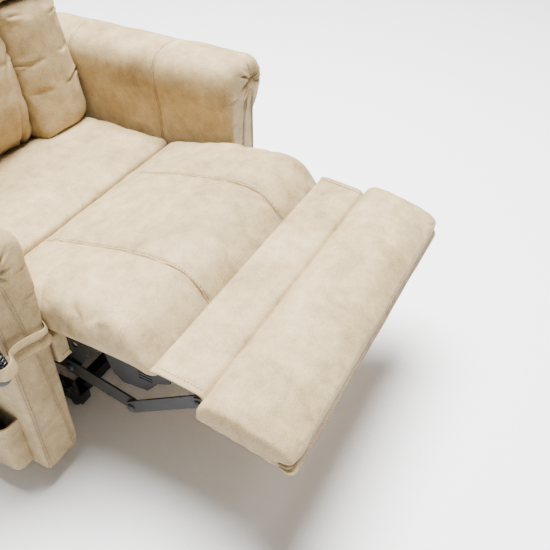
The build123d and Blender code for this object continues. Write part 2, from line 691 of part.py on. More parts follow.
# ---- handset, its pocket and its cord -----------------------------------------------------
HAND_X = -455.0
HAND_HALF = 11.0
HAND_Y = (-38.0, 10.0)
HAND_Z = (92.0, 242.0)
POCKET_Y = (-88.0, 46.0)
POCKET_Z = (72.0, 214.0)
POCKET_X = 480.0
with BuildPart() as handset_pocket:
    wall = 3.0
    y_low, y_high = POCKET_Y
    block((-POCKET_X, -POCKET_X + wall), POCKET_Y, POCKET_Z)
    block((-POCKET_X + wall, -ARM_OUTER), (y_low, y_low + wall), POCKET_Z)
    block((-POCKET_X + wall, -ARM_OUTER), (y_high - wall, y_high), POCKET_Z)
    block((-POCKET_X + wall, -ARM_OUTER), POCKET_Y, (POCKET_Z[0], POCKET_Z[0] + wall))
save(handset_pocket, "handset_pocket")

HAND_SPLIT = HAND_X - 1
BUTTON_R = 6.5
BUTTON_TRAVEL = 1.5
BUTTON_Z = 228.0
BUTTONS = (("up", -24.0), ("down", -4.0))
with BuildPart() as handset_back:
    block((HAND_SPLIT, HAND_X + HAND_HALF), HAND_Y, HAND_Z)
    fillet(handset_back.faces().sort_by(Axis.X)[-1].edges(), 4)
save(handset_back, "handset_back_shell")

with BuildPart() as handset_front:
    block((HAND_X - HAND_HALF, HAND_SPLIT), HAND_Y, HAND_Z)
    fillet(handset_front.faces().sort_by(Axis.X)[0].edges(), 4)
    with BuildSketch(Plane.YZ.offset(HAND_X - HAND_HALF - 1)):
        for name, y in BUTTONS:
            with Locations((y, BUTTON_Z)):
                Circle(BUTTON_R + 0.2)
    extrude(amount=7, mode=Mode.SUBTRACT)
save(handset_front, "handset_front_shell")

for name, y in BUTTONS:
    with BuildPart() as button:
        start = HAND_X - HAND_HALF - 2.5
        with BuildSketch(Plane.YZ.offset(start)):
            with Locations((y, BUTTON_Z)):
                Circle(BUTTON_R)
        extrude(amount=2.5 + 6 - BUTTON_TRAVEL - 0.3)
        fillet(button.faces().sort_by(Axis.X)[0].edges(), 1)
    save(button, f"button_{name}")

CORD_R = 9.5
RELIEF_TOP = 264.0
with BuildPart() as strain_relief:
    with BuildSketch(Plane.XY.offset(HAND_Z[1])):
        with Locations((HAND_X, -14)):
            Circle(7.5)
    with BuildSketch(Plane.XY.offset(RELIEF_TOP)):
        with Locations((HAND_X, -14)):
            Circle(5)
    loft()
save(strain_relief, "handset_strain_relief")

GLAND_TOP = 132.0
CORD_ROUTE = [
    (HAND_X, -14, RELIEF_TOP),
    (HAND_X, -14, 316),
    (-458, -50, 354),
    (-461, -110, 358),
    (-463, -150, 394),
    (-464, -151, 446),
    (-463, -115, 482),
    (-460, -62, 482),
    (-458, -10, 466),
    (-457, 32, 432),
    (-456, 54, 384),
    (-457, 64, 326),
    (-457, 69, 262),
    (-455, 72, 200),
    (-455, 72, GLAND_TOP),
]
CORD_POINTS = [Vector(*point) for point in CORD_ROUTE]
CORD_RUNS = [b - a for a, b in zip(CORD_POINTS, CORD_POINTS[1:])]
CORD_TURNS = [a.get_angle(b) for a, b in zip(CORD_RUNS, CORD_RUNS[1:])]
CORD_RADII = [
    0.45 * min(a.length, b.length) / tan(radians(turn / 2))
    for a, b, turn in zip(CORD_RUNS, CORD_RUNS[1:], CORD_TURNS)
]
print("cord radii", [round(radius) for radius in CORD_RADII])
with BuildPart() as handset_cord:
    with BuildLine() as cord_line:
        FilletPolyline(*CORD_POINTS, radius=CORD_RADII)
    with BuildSketch(Plane(origin=CORD_POINTS[0], z_dir=CORD_RUNS[0])):
        Circle(CORD_R)
    sweep(path=cord_line.line)
save(handset_cord, "handset_cord")
CORD_LENGTH = cord_line.wire().length
CORD_VOLUME = CORD_LENGTH * pi * CORD_R**2
print("cord length", CORD_LENGTH, "volume ratio", handset_cord.part.volume / CORD_VOLUME)

with BuildPart() as cord_gland:
    block((-472, -ARM_OUTER), (54, 90), (92, 120))
    fillet(cord_gland.edges().filter_by(Axis.Z), 4)
    with BuildSketch(Plane.XY.offset(120)):
        with Locations((-455, 72)):
            Circle(12)
    extrude(amount=GLAND_TOP - 120, taper=12)
save(cord_gland, "cord_gland")

STRAP_T = 3.0
STRAP_Z = (408.0, 430.0)
LOOP = (-463.5, -150.5)
STRAP_BAND = [
    (-345, 372),
    (-345, 397),
    (-430, STRAP_Z[1]),
    (-444, STRAP_Z[1]),
    (-444, STRAP_Z[0]),
    (-430, STRAP_Z[0]),
]
with BuildPart() as strap_loop:
    y_face = ARM_FRONT - 0.3
    with BuildSketch(Plane.XZ.offset(-y_face)):
        with BuildLine():
            Polyline(*STRAP_BAND, close=True)
        make_face()
    extrude(amount=STRAP_T)
    with BuildSketch(Plane.XY.offset(STRAP_Z[0])):
        with Locations(LOOP):
            Circle(CORD_R + 6 + STRAP_T)
            with Locations((14, 18)):
                Rectangle(18, 18)
            Circle(CORD_R + 6, mode=Mode.SUBTRACT)
    extrude(amount=STRAP_Z[1] - STRAP_Z[0])
save(strap_loop, "strap_loop")

# ---- ratios between the coupled motions ---------------------------------------------------
ROD_PIVOT_UP = turned(ROD_PIVOT, LIFT_ROOT, LIFT_SWING)
REACH_UP = hypot(ROD_PIVOT_UP[0] - MOTOR_PIVOT[0], ROD_PIVOT_UP[1] - MOTOR_PIVOT[1])
print("link a turn", bearing(LINK_ROOT, ELBOW_FOLDED) - bearing(LINK_ROOT, ELBOW))
print("link b turn", bearing(ELBOW_FOLDED, TIP_FOLDED) - bearing(ELBOW, LINK_TIP))
print("stay turn", bearing(STAY_ROOT, STAY_TIP_UP) - bearing(STAY_ROOT, STAY_TIP))
print("motor turn", bearing(MOTOR_PIVOT, ROD_PIVOT_UP) - bearing(MOTOR_PIVOT, ROD_PIVOT))
print("rod travel", REACH_UP - REACH)
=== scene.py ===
import json
import math

import bmesh
import bpy
import numpy as np
from mathutils import Matrix, Vector
from mathutils.bvhtree import BVHTree


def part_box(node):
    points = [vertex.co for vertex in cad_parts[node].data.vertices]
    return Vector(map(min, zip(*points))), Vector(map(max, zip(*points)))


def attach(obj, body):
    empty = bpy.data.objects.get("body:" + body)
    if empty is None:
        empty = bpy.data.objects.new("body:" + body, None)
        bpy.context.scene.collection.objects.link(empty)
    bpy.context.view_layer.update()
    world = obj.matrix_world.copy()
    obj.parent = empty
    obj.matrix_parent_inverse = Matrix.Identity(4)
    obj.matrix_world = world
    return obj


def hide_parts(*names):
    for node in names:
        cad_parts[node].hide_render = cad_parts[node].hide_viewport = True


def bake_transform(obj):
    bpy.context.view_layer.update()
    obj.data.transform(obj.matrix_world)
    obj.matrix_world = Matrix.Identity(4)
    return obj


# The looks of a power lift recliner, in metres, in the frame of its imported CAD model.
# The sitter's left arm is at +X, the footrest points to -Y, and the floor is Z = 0.

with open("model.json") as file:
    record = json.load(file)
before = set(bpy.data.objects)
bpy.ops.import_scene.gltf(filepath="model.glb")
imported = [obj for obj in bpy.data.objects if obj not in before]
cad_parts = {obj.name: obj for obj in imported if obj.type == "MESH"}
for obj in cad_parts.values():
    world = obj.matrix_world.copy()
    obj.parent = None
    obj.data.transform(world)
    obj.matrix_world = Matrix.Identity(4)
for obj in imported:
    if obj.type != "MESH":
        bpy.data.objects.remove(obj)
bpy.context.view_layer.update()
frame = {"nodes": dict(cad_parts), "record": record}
SIDES = (("left", 1), ("right", -1))


# ---- camera -------------------------------------------------------------------------------
CAMERA_PLACE = (-0.9165, -0.9033, 1.2772)
CAMERA_AZIMUTH = -62.196
CAMERA_ELEVATION = 40.587
CAMERA_ROLL = 0.350
CAMERA_LENS = 43.837


def make_camera():
    data = bpy.data.cameras.new("camera")
    data.lens = CAMERA_LENS
    data.sensor_width = 36.0
    camera = bpy.data.objects.new("camera", data)
    bpy.context.collection.objects.link(camera)
    a, e, roll = (math.radians(v) for v in (CAMERA_AZIMUTH, CAMERA_ELEVATION, CAMERA_ROLL))
    back = Vector((math.sin(a) * math.cos(e), -math.cos(a) * math.cos(e), math.sin(e)))
    right = (-back).cross(Vector((0, 0, 1))).normalized()
    up = right.cross(-back)
    across = math.cos(roll) * right + math.sin(roll) * up
    over = -math.sin(roll) * right + math.cos(roll) * up
    turn = Matrix((across, over, back)).transposed().to_4x4()
    camera.matrix_world = Matrix.Translation(CAMERA_PLACE) @ turn
    bpy.context.scene.camera = camera


make_camera()


# ---- mesh helpers -------------------------------------------------------------------------
def add_mesh(name, points, faces):
    """A smooth-shaded mesh object from arrays of points and faces."""
    mesh = bpy.data.meshes.new(name)
    mesh.from_pydata([tuple(map(float, p)) for p in points], [], [list(f) for f in faces])
    mesh.update()
    mesh.shade_smooth()
    piece = bpy.data.objects.new(name, mesh)
    bpy.context.collection.objects.link(piece)
    return piece


def get_points(piece):
    flat = np.empty(len(piece.data.vertices) * 3)
    piece.data.vertices.foreach_get("co", flat)
    return flat.reshape(-1, 3)


def set_points(piece, points):
    piece.data.vertices.foreach_set("co", np.asarray(points, float).ravel())
    piece.data.update()


def get_normals(piece):
    flat = np.empty(len(piece.data.vertices) * 3, np.float32)
    piece.data.vertex_normals.foreach_get("vector", flat)
    return flat.reshape(-1, 3).astype(float)


def finish_piece(piece, material, body=None):
    """Give a piece its material and slot, and its body when one is given."""
    piece.data.materials.clear()
    piece.data.materials.append(material)
    if body:
        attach(piece, body)
    return piece


def box_shell(counts):
    """Corners, from -1 to 1 along each axis, and quads of a cut-up box's surface."""
    index = {}
    faces = []

    def corner(key):
        return index.setdefault(key, len(index))

    for axis in range(3):
        u, v = (axis + 1) % 3, (axis + 2) % 3
        for end in (0, counts[axis]):
            for i in range(counts[u]):
                for j in range(counts[v]):
                    ring = []
                    for a, b in ((i, j), (i + 1, j), (i + 1, j + 1), (i, j + 1)):
                        key = [0, 0, 0]
                        key[axis], key[u], key[v] = end, a, b
                        ring.append(corner(tuple(key)))
                    faces.append(ring[::-1] if end == 0 else ring)
    corners = np.array(list(index), float) / np.array(counts) * 2 - 1
    return corners, faces


CROWDING = 4.0  # how much closer together points lie near a crowded place


def crowd(values, places, width):
    """Move values spread evenly from -1 to 1 so that they lie closer together near places."""
    grid = np.linspace(-1, 1, 1201)
    density = 1 + CROWDING * sum(bell(grid - place, width) for place in places)
    run = np.concatenate([[0], np.cumsum((density[1:] + density[:-1]) / 2)])
    return np.interp(values, run / run[-1] * 2 - 1, grid)


def rounded_box(half, radius, step, crowded=()):
    """A box about the origin with rounded edges, as points, faces and places from -1 to 1.

    crowded lists (axis, places, width) where seams need a finer mesh.
    """
    half = np.array(half, float)
    counts = [max(4, int(round(2 * h / step))) for h in half]
    unit, faces = box_shell(counts)
    for axis, places, width in crowded:
        unit[:, axis] = crowd(unit[:, axis], np.array(places) / half[axis], width / half[axis])
    points = unit * half
    core = np.clip(points, -(half - radius), half - radius)
    away = points - core
    length = np.linalg.norm(away, axis=1, keepdims=True)
    return core + away / np.maximum(length, 1e-9) * radius, faces, unit


def profile(pairs, soft=0.015):
    """A smoothed line through (place, value) pairs, as a function of place."""
    places = np.array([p for p, _ in pairs])
    values = np.array([v for _, v in pairs])
    order = np.argsort(places)
    grid = np.linspace(places.min() - 5 * soft, places.max() + 5 * soft, 600)
    line = np.interp(grid, places[order], values[order])
    spread = np.arange(-40, 41) * (grid[1] - grid[0])
    weight = np.exp(-((spread / soft) ** 2) / 2)
    line = np.convolve(np.pad(line, 40, mode="edge"), weight / weight.sum(), mode="valid")
    return lambda place: np.interp(place, grid, line)


def ripple(points, length, seed, stretch=(1, 1, 1)):
    """A smooth random field of about unit size, with waves of about the given length."""
    draw = np.random.default_rng(seed)
    scaled = points * np.array(stretch)
    field = np.zeros(len(points))
    for _ in range(16):
        way = draw.normal(size=3)
        way *= 2 * math.pi / length * draw.uniform(0.6, 1.5) / np.linalg.norm(way)
        field += np.sin(scaled @ way + draw.uniform(0, 2 * math.pi))
    return field / 2.83  # the spread of sixteen sines added up


def bell(distance, width):
    return np.exp(-((distance / width) ** 2))


def press_seam(piece, distance, width=0.006, depth=0.003, ridge=0.0):
    """Draw the cover in along a seam: distance is each point's distance from it."""
    push = -depth * bell(distance, width) + ridge * bell(np.abs(distance) - 2 * width, width)
    set_points(piece, get_points(piece) + get_normals(piece) * push[:, None])


def shaped_mesh(piece):
    """The mesh that a piece's modifiers give at the present frame."""
    graph = bpy.context.evaluated_depsgraph_get()
    return bpy.data.meshes.new_from_object(piece.evaluated_get(graph))


STIFFNESS = 12.0
FRAMES = 20  # how long the cloth is left to fill


def inflate(piece, pins, pressure=4.0, slack=0.03, cap=0.02):
    """Fill a closed cover with air as cloth, held where pins is 1, and keep its mesh."""
    start = get_points(piece)
    group = piece.vertex_groups.new(name="pins")
    for weight in sorted(set(np.round(pins[pins > 0.02], 1))):
        held = np.nonzero(np.round(pins, 1) == weight)[0]
        group.add(held.tolist(), float(weight), "REPLACE")
    cloth = piece.modifiers.new("cloth", "CLOTH")
    rules = cloth.settings
    rules.quality = 5
    rules.mass = 0.3
    rules.tension_stiffness = STIFFNESS
    rules.compression_stiffness = STIFFNESS
    rules.shear_stiffness = STIFFNESS / 3
    rules.bending_stiffness = 0.4
    rules.use_pressure = True
    rules.uniform_pressure_force = pressure
    rules.effector_weights.gravity = 0
    rules.shrink_min = -slack
    rules.vertex_group_mass = group.name
    cloth.collision_settings.use_collision = False
    cloth.point_cache.frame_start = 1
    cloth.point_cache.frame_end = FRAMES
    scene = bpy.context.scene
    for number in range(1, FRAMES + 1):
        scene.frame_set(number)
    result = shaped_mesh(piece)
    flat = np.empty(len(result.vertices) * 3)
    result.vertices.foreach_get("co", flat)
    piece.modifiers.remove(cloth)
    piece.vertex_groups.clear()
    bpy.data.meshes.remove(result)
    scene.frame_set(1)
    move = flat.reshape(-1, 3) - start
    size = np.linalg.norm(move, axis=1, keepdims=True)
    set_points(piece, start + move * np.minimum(1, cap / np.maximum(size, 1e-9)))


def subdivide(piece):
    """Apply one smooth subdivision, so that the piece keeps a plain mesh."""
    cut = piece.modifiers.new("subdivide", "SUBSURF")
    cut.levels = 1
    mesh = shaped_mesh(piece)
    piece.modifiers.remove(cut)
    old = piece.data
    mesh.name = old.name + "_fine"
    piece.data = mesh
    bpy.data.meshes.remove(old)
    piece.data.shade_smooth()


def thicken(piece, thickness, offset):
    """Give an open sheet its thickness, and keep it as a plain mesh."""
    thick = piece.modifiers.new("thick", "SOLIDIFY")
    thick.thickness = thickness
    thick.offset = offset
    mesh = shaped_mesh(piece)
    piece.modifiers.clear()
    piece.data = mesh


def ring_faces(rings, sides):
    """Quads between equal rings of points, and a face over each end."""
    faces = []
    for a in range(0, (rings - 1) * sides, sides):
        b = a + sides
        faces += [(a + i, a + (i + 1) % sides, b + (i + 1) % sides, b + i) for i in range(sides)]
    last = (rings - 1) * sides
    return faces + [tuple(range(sides))[::-1], tuple(range(last, last + sides))]


def grid_faces(rows, columns, flip=False):
    """Quads of an open sheet whose points run row by row."""
    faces = []
    for row in range(rows - 1):
        for a in range(row * columns, (row + 1) * columns - 1):
            b = a + columns
            faces.append((a, a + 1, b + 1, b) if flip else (a, b, b + 1, a + 1))
    return faces


def tube_mesh(points, radius, sides=8):
    """Points and faces of a round tube along a line, with closed ends."""
    line = np.array(points, float)
    ahead = np.roll(line, -1, 0) - np.roll(line, 1, 0)
    ahead[0], ahead[-1] = line[1] - line[0], line[-1] - line[-2]
    ahead /= np.linalg.norm(ahead, axis=1, keepdims=True)
    normal = np.cross(ahead[0], (0.31, 0.22, 0.92))  # any direction that no tube here takes
    angle = np.arange(sides) * 2 * math.pi / sides
    rings = []
    for spot, way in zip(line, ahead):
        normal = normal - way * (normal @ way)
        normal /= np.linalg.norm(normal)
        ring = np.outer(np.cos(angle), normal) + np.outer(np.sin(angle), np.cross(way, normal))
        rings.append(spot + ring * radius)
    return np.concatenate(rings), ring_faces(len(line), sides)


def merge(parts):
    """One list of points and faces from several."""
    verts, faces, start = [], [], 0
    for points, quads in parts:
        verts.append(np.asarray(points, float))
        faces += [[start + i for i in quad] for quad in quads]
        start += len(points)
    return np.concatenate(verts), faces


def resample(points, step):
    """The same line with its points a step apart."""
    line = np.array(points, float)
    run = np.concatenate([[0], np.cumsum(np.linalg.norm(np.diff(line, axis=0), axis=1))])
    count = max(2, int(round(run[-1] / step)) + 1)
    places = np.linspace(0, run[-1], count)
    return np.stack([np.interp(places, run, line[:, k]) for k in range(3)], axis=1)


def smooth_line(points, step=0.004):
    """A line with its corners cut round, with its points a step apart."""
    line = np.array(points, float)
    for _ in range(3):
        quarter = line[:-1] * 0.75 + line[1:] * 0.25
        other = line[:-1] * 0.25 + line[1:] * 0.75
        middle = np.stack([quarter, other], axis=1).reshape(-1, 3)
        line = np.concatenate([line[:1], middle[1:-1], line[-1:]])
    return resample(line, step)


def smooth_loop(points, step):
    """A closed outline with its corners rounded and its points a step apart."""
    line = np.array(points, float)
    for _ in range(3):
        ahead = np.roll(line, -1, 0)
        line = np.stack([line * 0.75 + ahead * 0.25, line * 0.25 + ahead * 0.75], 1).reshape(-1, 3)
    line = np.concatenate([line, line[:1]])
    return resample(line, step)[:-1]


def loft_piece(name, rows):
    """A closed skin through equal rings of points, with its two ends filled."""
    piece = add_mesh(name, np.concatenate(rows), ring_faces(len(rows), len(rows[0])))
    fix_normals(piece)
    return piece


def fix_normals(piece):
    """Turn every face of a closed piece outwards."""
    work = bmesh.new()
    work.from_mesh(piece.data)
    bmesh.ops.recalc_face_normals(work, faces=work.faces)
    work.to_mesh(piece.data)
    work.free()
    piece.data.shade_smooth()


def directions(line):
    """Unit vectors along a line, one at each of its points."""
    ahead = np.gradient(line, axis=0)
    return ahead / np.linalg.norm(ahead, axis=1, keepdims=True)


def circle(sides):
    return [2 * math.pi * i / sides for i in range(sides)]


def ribbon(line, width, thick, across):
    """Rings of a soft flat strap along a line; across points over its width."""
    ahead = directions(line)
    ways = np.broadcast_to(np.asarray(across, float), line.shape).copy()
    ways -= ahead * np.sum(ways * ahead, axis=1, keepdims=True)
    ways /= np.linalg.norm(ways, axis=1, keepdims=True)
    out = np.cross(ahead, ways)
    section = []
    for angle in circle(24):
        c, s = math.cos(angle), math.sin(angle)
        section.append((math.copysign(abs(c) ** 0.35, c), math.copysign(abs(s) ** 0.7, s)))
    rows = []
    for spot, way, up in zip(line, ways, out):
        rows.append(np.array([spot + way * (a * width / 2) + up * (b * thick / 2) for a, b in section]))
    return rows


def surface_of(*pieces):
    """A search tree of the pieces' surfaces, for laying thread on them."""
    verts, faces = merge([(get_points(p), [list(f.vertices) for f in p.data.polygons]) for p in pieces])
    return BVHTree.FromPolygons([tuple(v) for v in verts], faces)


REACH = 0.08  # how far above and below a line its surface is looked for


def lay_on(tree, points, aim):
    """The points dropped along aim onto a surface, with its normals there; misses are dropped."""
    aim = Vector(aim).normalized()
    spots, normals = [], []
    for point in points:
        place, normal, _, _ = tree.ray_cast(Vector(point) - aim * REACH, aim, 2 * REACH)
        if place is not None:
            spots.append(place)
            normals.append(normal)
    return np.array(spots).reshape(-1, 3), np.array(normals).reshape(-1, 3)


STITCH = 0.0042
STITCH_PITCH = 0.0065
THREAD_R = 0.0007


def stitches(tree, points, aim, pitch=STITCH_PITCH):
    """Separate stitches of thread along a line laid on a surface, as points and faces."""
    spots, normals = lay_on(tree, resample(points, pitch), aim)
    parts = []
    for i in range(len(spots) - 1):
        step = spots[i + 1] - spots[i]
        length = np.linalg.norm(step)
        if length > 2.5 * pitch or length < 1e-5:
            continue
        way = step / length
        out = normals[i]
        middle = (spots[i] + spots[i + 1]) / 2
        ends = ((-0.5, -0.0004), (-0.34, 0.0005), (0, 0.0007), (0.34, 0.0005), (0.5, -0.0004))
        line = [middle + way * (STITCH * along) + out * lift for along, lift in ends]
        parts.append(tube_mesh(line, THREAD_R, sides=6))
    return parts


def seam_thread(name, rows, body=None):
    """All the stitches of one piece as one mesh; rows are (tree, points, aim)."""
    parts = [part for row in rows for part in stitches(*row)]
    piece = add_mesh(name, *merge(parts))
    return finish_piece(piece, THREAD, body=body)


def finish_padded(piece, fill, *nodes, body=None):
    """Finish a padded cover that stands for the given CAD nodes."""
    finish_piece(piece, SUEDE, body=body)
    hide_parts(*nodes)
    return piece


# ---- materials ----------------------------------------------------------------------------
class Finish:
    """A node material under construction: one shader, and its textures in object space."""

    def __init__(self, name):
        self.material = bpy.data.materials.new(name)
        self.material.use_nodes = True
        self.nodes = self.material.node_tree.nodes
        self.links = self.material.node_tree.links
        self.shader = self.nodes["Principled BSDF"]
        self.place = self.nodes.new("ShaderNodeTexCoord").outputs["Object"]

    def set(self, **values):
        for name, value in values.items():
            self.shader.inputs[name.replace("_", " ")].default_value = value

    def noise(self, scale, detail=4.0, rough=0.5, stretch=None, warp=0.0):
        texture = self.nodes.new("ShaderNodeTexNoise")
        texture.inputs["Scale"].default_value = scale
        texture.inputs["Detail"].default_value = detail
        texture.inputs["Roughness"].default_value = rough
        texture.inputs["Distortion"].default_value = warp
        self.links.new(self.stretched(stretch), texture.inputs["Vector"])
        return texture.outputs["Fac"]

    def stretched(self, stretch):
        if stretch is None:
            return self.place
        scaled = self.nodes.new("ShaderNodeMapping")
        scaled.inputs["Scale"].default_value = stretch
        self.links.new(self.place, scaled.inputs["Vector"])
        return scaled.outputs["Vector"]

    def cells(self, scale):
        texture = self.nodes.new("ShaderNodeTexVoronoi")
        texture.inputs["Scale"].default_value = scale
        self.links.new(self.place, texture.inputs["Vector"])
        return texture.outputs["Distance"]

    def ramp(self, value, stops):
        ramp = self.nodes.new("ShaderNodeValToRGB")
        while len(ramp.color_ramp.elements) < len(stops):
            ramp.color_ramp.elements.new(0.5)
        for element, (place, colour) in zip(ramp.color_ramp.elements, stops):
            element.position = place
            element.color = (*colour, 1)
        self.links.new(value, ramp.inputs["Fac"])
        return ramp.outputs["Color"]

    def span(self, value, low, high):
        """Map a texture from 0..1 to low..high."""
        ranged = self.nodes.new("ShaderNodeMapRange")
        ranged.inputs["To Min"].default_value = low
        ranged.inputs["To Max"].default_value = high
        self.links.new(value, ranged.inputs["Value"])
        return ranged.outputs["Result"]

    def add(self, *terms):
        """The weighted sum of textures, given as (texture, weight)."""
        total = None
        for value, weight in terms:
            times = self.nodes.new("ShaderNodeMath")
            times.operation = "MULTIPLY_ADD"
            times.inputs[1].default_value = weight
            times.inputs[2].default_value = 0
            self.links.new(value, times.inputs[0])
            if total is not None:
                self.links.new(total, times.inputs[2])
            total = times.outputs[0]
        return total

    def bumps(self, *layers):
        """Stack bump textures, given as (texture, height in metres, strength)."""
        below = None
        for value, height, strength in layers:
            bump = self.nodes.new("ShaderNodeBump")
            bump.inputs["Distance"].default_value = height
            bump.inputs["Strength"].default_value = strength
            self.links.new(value, bump.inputs["Height"])
            if below is not None:
                self.links.new(below, bump.inputs["Normal"])
            below = bump.outputs["Normal"]
        self.links.new(below, self.shader.inputs["Normal"])

    def colour(self, output):
        self.links.new(output, self.shader.inputs["Base Color"])

    def roughness(self, value, low, high):
        self.links.new(self.span(value, low, high), self.shader.inputs["Roughness"])


def suede():
    """Warm tan faux suede: cloudy cream and tan, a napped speckle and a fine soft grain."""
    f = Finish("tan_suede")
    clouds = f.noise(8.0, 3.0, 0.55, warp=0.6)
    patches = f.noise(34.0, 5.0, 0.62, warp=0.3)
    speckle = f.noise(330.0, 3.0, 0.6)
    nap = f.noise(1500.0, 2.0, 0.5)
    mottle = f.add((clouds, 0.36), (patches, 0.34), (speckle, 0.30))
    stops = (
        (0.36, (0.245, 0.170, 0.080)),
        (0.46, (0.350, 0.255, 0.128)),
        (0.54, (0.430, 0.322, 0.170)),
        (0.64, (0.525, 0.408, 0.228)),
    )
    f.colour(f.ramp(mottle, stops))
    f.roughness(patches, 0.56, 0.74)
    pebble = f.cells(520.0)
    f.bumps((patches, 0.0010, 0.30), (speckle, 0.0009, 0.60), (pebble, 0.0003, 0.35), (nap, 0.00015, 0.5))
    f.set(Sheen_Weight=0.07, Sheen_Roughness=0.4, Specular_IOR_Level=0.28)
    f.shader.inputs["Sheen Tint"].default_value = (1.0, 0.93, 0.82, 1)
    return f.material


def thread():
    """Twisted polyester sewing thread, darker than the cover: its dark tone is partly its own and partly
    painted shade, so that the seam lines read as shaded.
    """
    f = Finish("tan_thread")
    twist = f.noise(2600.0, 2.0, 0.5, stretch=(1, 3, 1))
    # painted shade: the thread's ramp is kept darker than its own tone so the seams look shaded
    f.colour(f.ramp(twist, [(0.35, (0.15, 0.095, 0.05)), (0.65, (0.30, 0.205, 0.12))]))
    f.roughness(twist, 0.4, 0.62)
    f.bumps((twist, 0.0002, 0.6))
    return f.material


def dust_cloth():
    """Black non-woven cloth: matted fibres with a dimpled bond pattern."""
    f = Finish("black_nonwoven")
    fibres = f.noise(420.0, 6.0, 0.75, warp=2.0)
    dimples = f.cells(600.0)
    f.colour(f.ramp(fibres, [(0.3, (0.006, 0.006, 0.007)), (0.7, (0.03, 0.03, 0.032))]))
    f.roughness(fibres, 0.8, 0.98)
    f.bumps((fibres, 0.0008, 0.6), (dimples, 0.0004, 0.5))
    f.set(Specular_IOR_Level=0.2)
    return f.material


def plywood():
    """Raw poplar ply and softwood: long grain, darker growth lines and small flecks."""
    f = Finish("raw_wood")
    grain = f.noise(26.0, 6.0, 0.6, stretch=(0.6, 5.0, 9.0), warp=1.4)
    flecks = f.noise(420.0, 3.0, 0.6, stretch=(0.12, 1, 1))
    wood = f.add((grain, 0.75), (flecks, 0.25))
    f.colour(f.ramp(wood, [(0.3, (0.36, 0.22, 0.11)), (0.5, (0.56, 0.39, 0.21)), (0.7, (0.68, 0.51, 0.31))]))
    f.roughness(grain, 0.62, 0.82)
    f.bumps((grain, 0.0006, 0.4), (flecks, 0.0003, 0.5))
    return f.material


def powder_coat():
    """Black powder-coated steel: orange peel, dust in patches and a satin shine."""
    f = Finish("black_powder_coat")
    peel = f.noise(900.0, 2.0, 0.5)
    dust = f.noise(18.0, 5.0, 0.65)
    f.colour(f.ramp(dust, [(0.35, (0.003, 0.003, 0.0035)), (0.7, (0.012, 0.012, 0.013))]))
    f.roughness(dust, 0.42, 0.62)
    f.bumps((peel, 0.00025, 0.6), (dust, 0.0004, 0.2))
    f.set(Specular_IOR_Level=0.28)
    return f.material


def bright_steel():
    """Ground steel rod with fine lines round it and an oily film."""
    f = Finish("ground_steel")
    lines = f.noise(160.0, 3.0, 0.6, stretch=(1, 30, 1))
    film = f.noise(40.0, 4.0, 0.6)
    f.colour(f.ramp(film, [(0.3, (0.50, 0.50, 0.51)), (0.7, (0.74, 0.74, 0.75))]))
    f.roughness(lines, 0.16, 0.36)
    f.bumps((lines, 0.00005, 0.5))
    f.set(Metallic=1.0)
    return f.material


def spring_wire():
    """Oil-tempered spring wire, drawn lines along it and brown-black scale."""
    f = Finish("spring_wire")
    scale = f.noise(120.0, 5.0, 0.7)
    drawn = f.noise(500.0, 3.0, 0.6, stretch=(8, 1, 8))
    f.colour(f.ramp(scale, [(0.3, (0.05, 0.045, 0.04)), (0.7, (0.22, 0.21, 0.20))]))
    f.roughness(drawn, 0.32, 0.55)
    f.bumps((drawn, 0.0001, 0.5))
    f.set(Metallic=0.9)
    return f.material


def moulded_plastic(name, dark, light, rough):
    """Spark-eroded moulded plastic with a fine even texture and handling marks."""
    f = Finish(name)
    spark = f.noise(1800.0, 2.0, 0.55)
    marks = f.noise(30.0, 4.0, 0.6)
    f.colour(f.ramp(marks, [(0.35, dark), (0.7, light)]))
    f.roughness(marks, rough - 0.07, rough + 0.09)
    f.bumps((spark, 0.00014, 0.7), (marks, 0.0002, 0.12))
    return f.material


def rubber():
    """Matt black rubber with bloom in patches."""
    f = Finish("black_rubber")
    bloom = f.noise(60.0, 4.0, 0.65)
    skin = f.noise(1300.0, 2.0, 0.5)
    f.colour(f.ramp(bloom, [(0.35, (0.012, 0.012, 0.012)), (0.7, (0.032, 0.031, 0.030))]))
    f.roughness(bloom, 0.7, 0.88)
    f.bumps((skin, 0.0002, 0.5))
    return f.material


def cord_jacket():
    """Glossy black curly-cord jacket with faint flow lines and dust."""
    f = Finish("cord_jacket")
    dust = f.noise(140.0, 4.0, 0.6)
    flow = f.noise(900.0, 2.0, 0.5)
    f.colour(f.ramp(dust, [(0.4, (0.006, 0.006, 0.006)), (0.75, (0.020, 0.020, 0.021))]))
    f.roughness(dust, 0.14, 0.30)
    f.bumps((flow, 0.00006, 0.4))
    f.set(Specular_IOR_Level=0.6)
    return f.material


def floor_paper():
    """A plain pale studio floor."""
    f = Finish("studio_floor")
    fibre = f.noise(60.0, 4.0, 0.6)
    f.colour(f.ramp(fibre, [(0.3, (0.93, 0.93, 0.93)), (0.7, (0.96, 0.96, 0.96))]))
    f.roughness(fibre, 0.75, 0.85)
    return f.material


SUEDE = suede()
THREAD = thread()
DUST = dust_cloth()
WOOD = plywood()
STEEL = powder_coat()
ROD = bright_steel()
WIRE = spring_wire()
BLACK = moulded_plastic("black_plastic", (0.010, 0.010, 0.011), (0.022, 0.022, 0.023), 0.46)
GREY = moulded_plastic("grey_plastic", (0.36, 0.37, 0.38), (0.46, 0.47, 0.48), 0.40)
RUBBER = rubber()
JACKET = cord_jacket()
MATERIAL_OF_SLOT = {
    "upholstery": SUEDE,
    "dust_fabric": DUST,
    "plywood": WOOD,
    "black_steel": STEEL,
    "bright_steel": ROD,
    "spring_steel": WIRE,
    "black_plastic": BLACK,
    "grey_plastic": GREY,
    "black_rubber": RUBBER,
    "black_cord": JACKET,
}


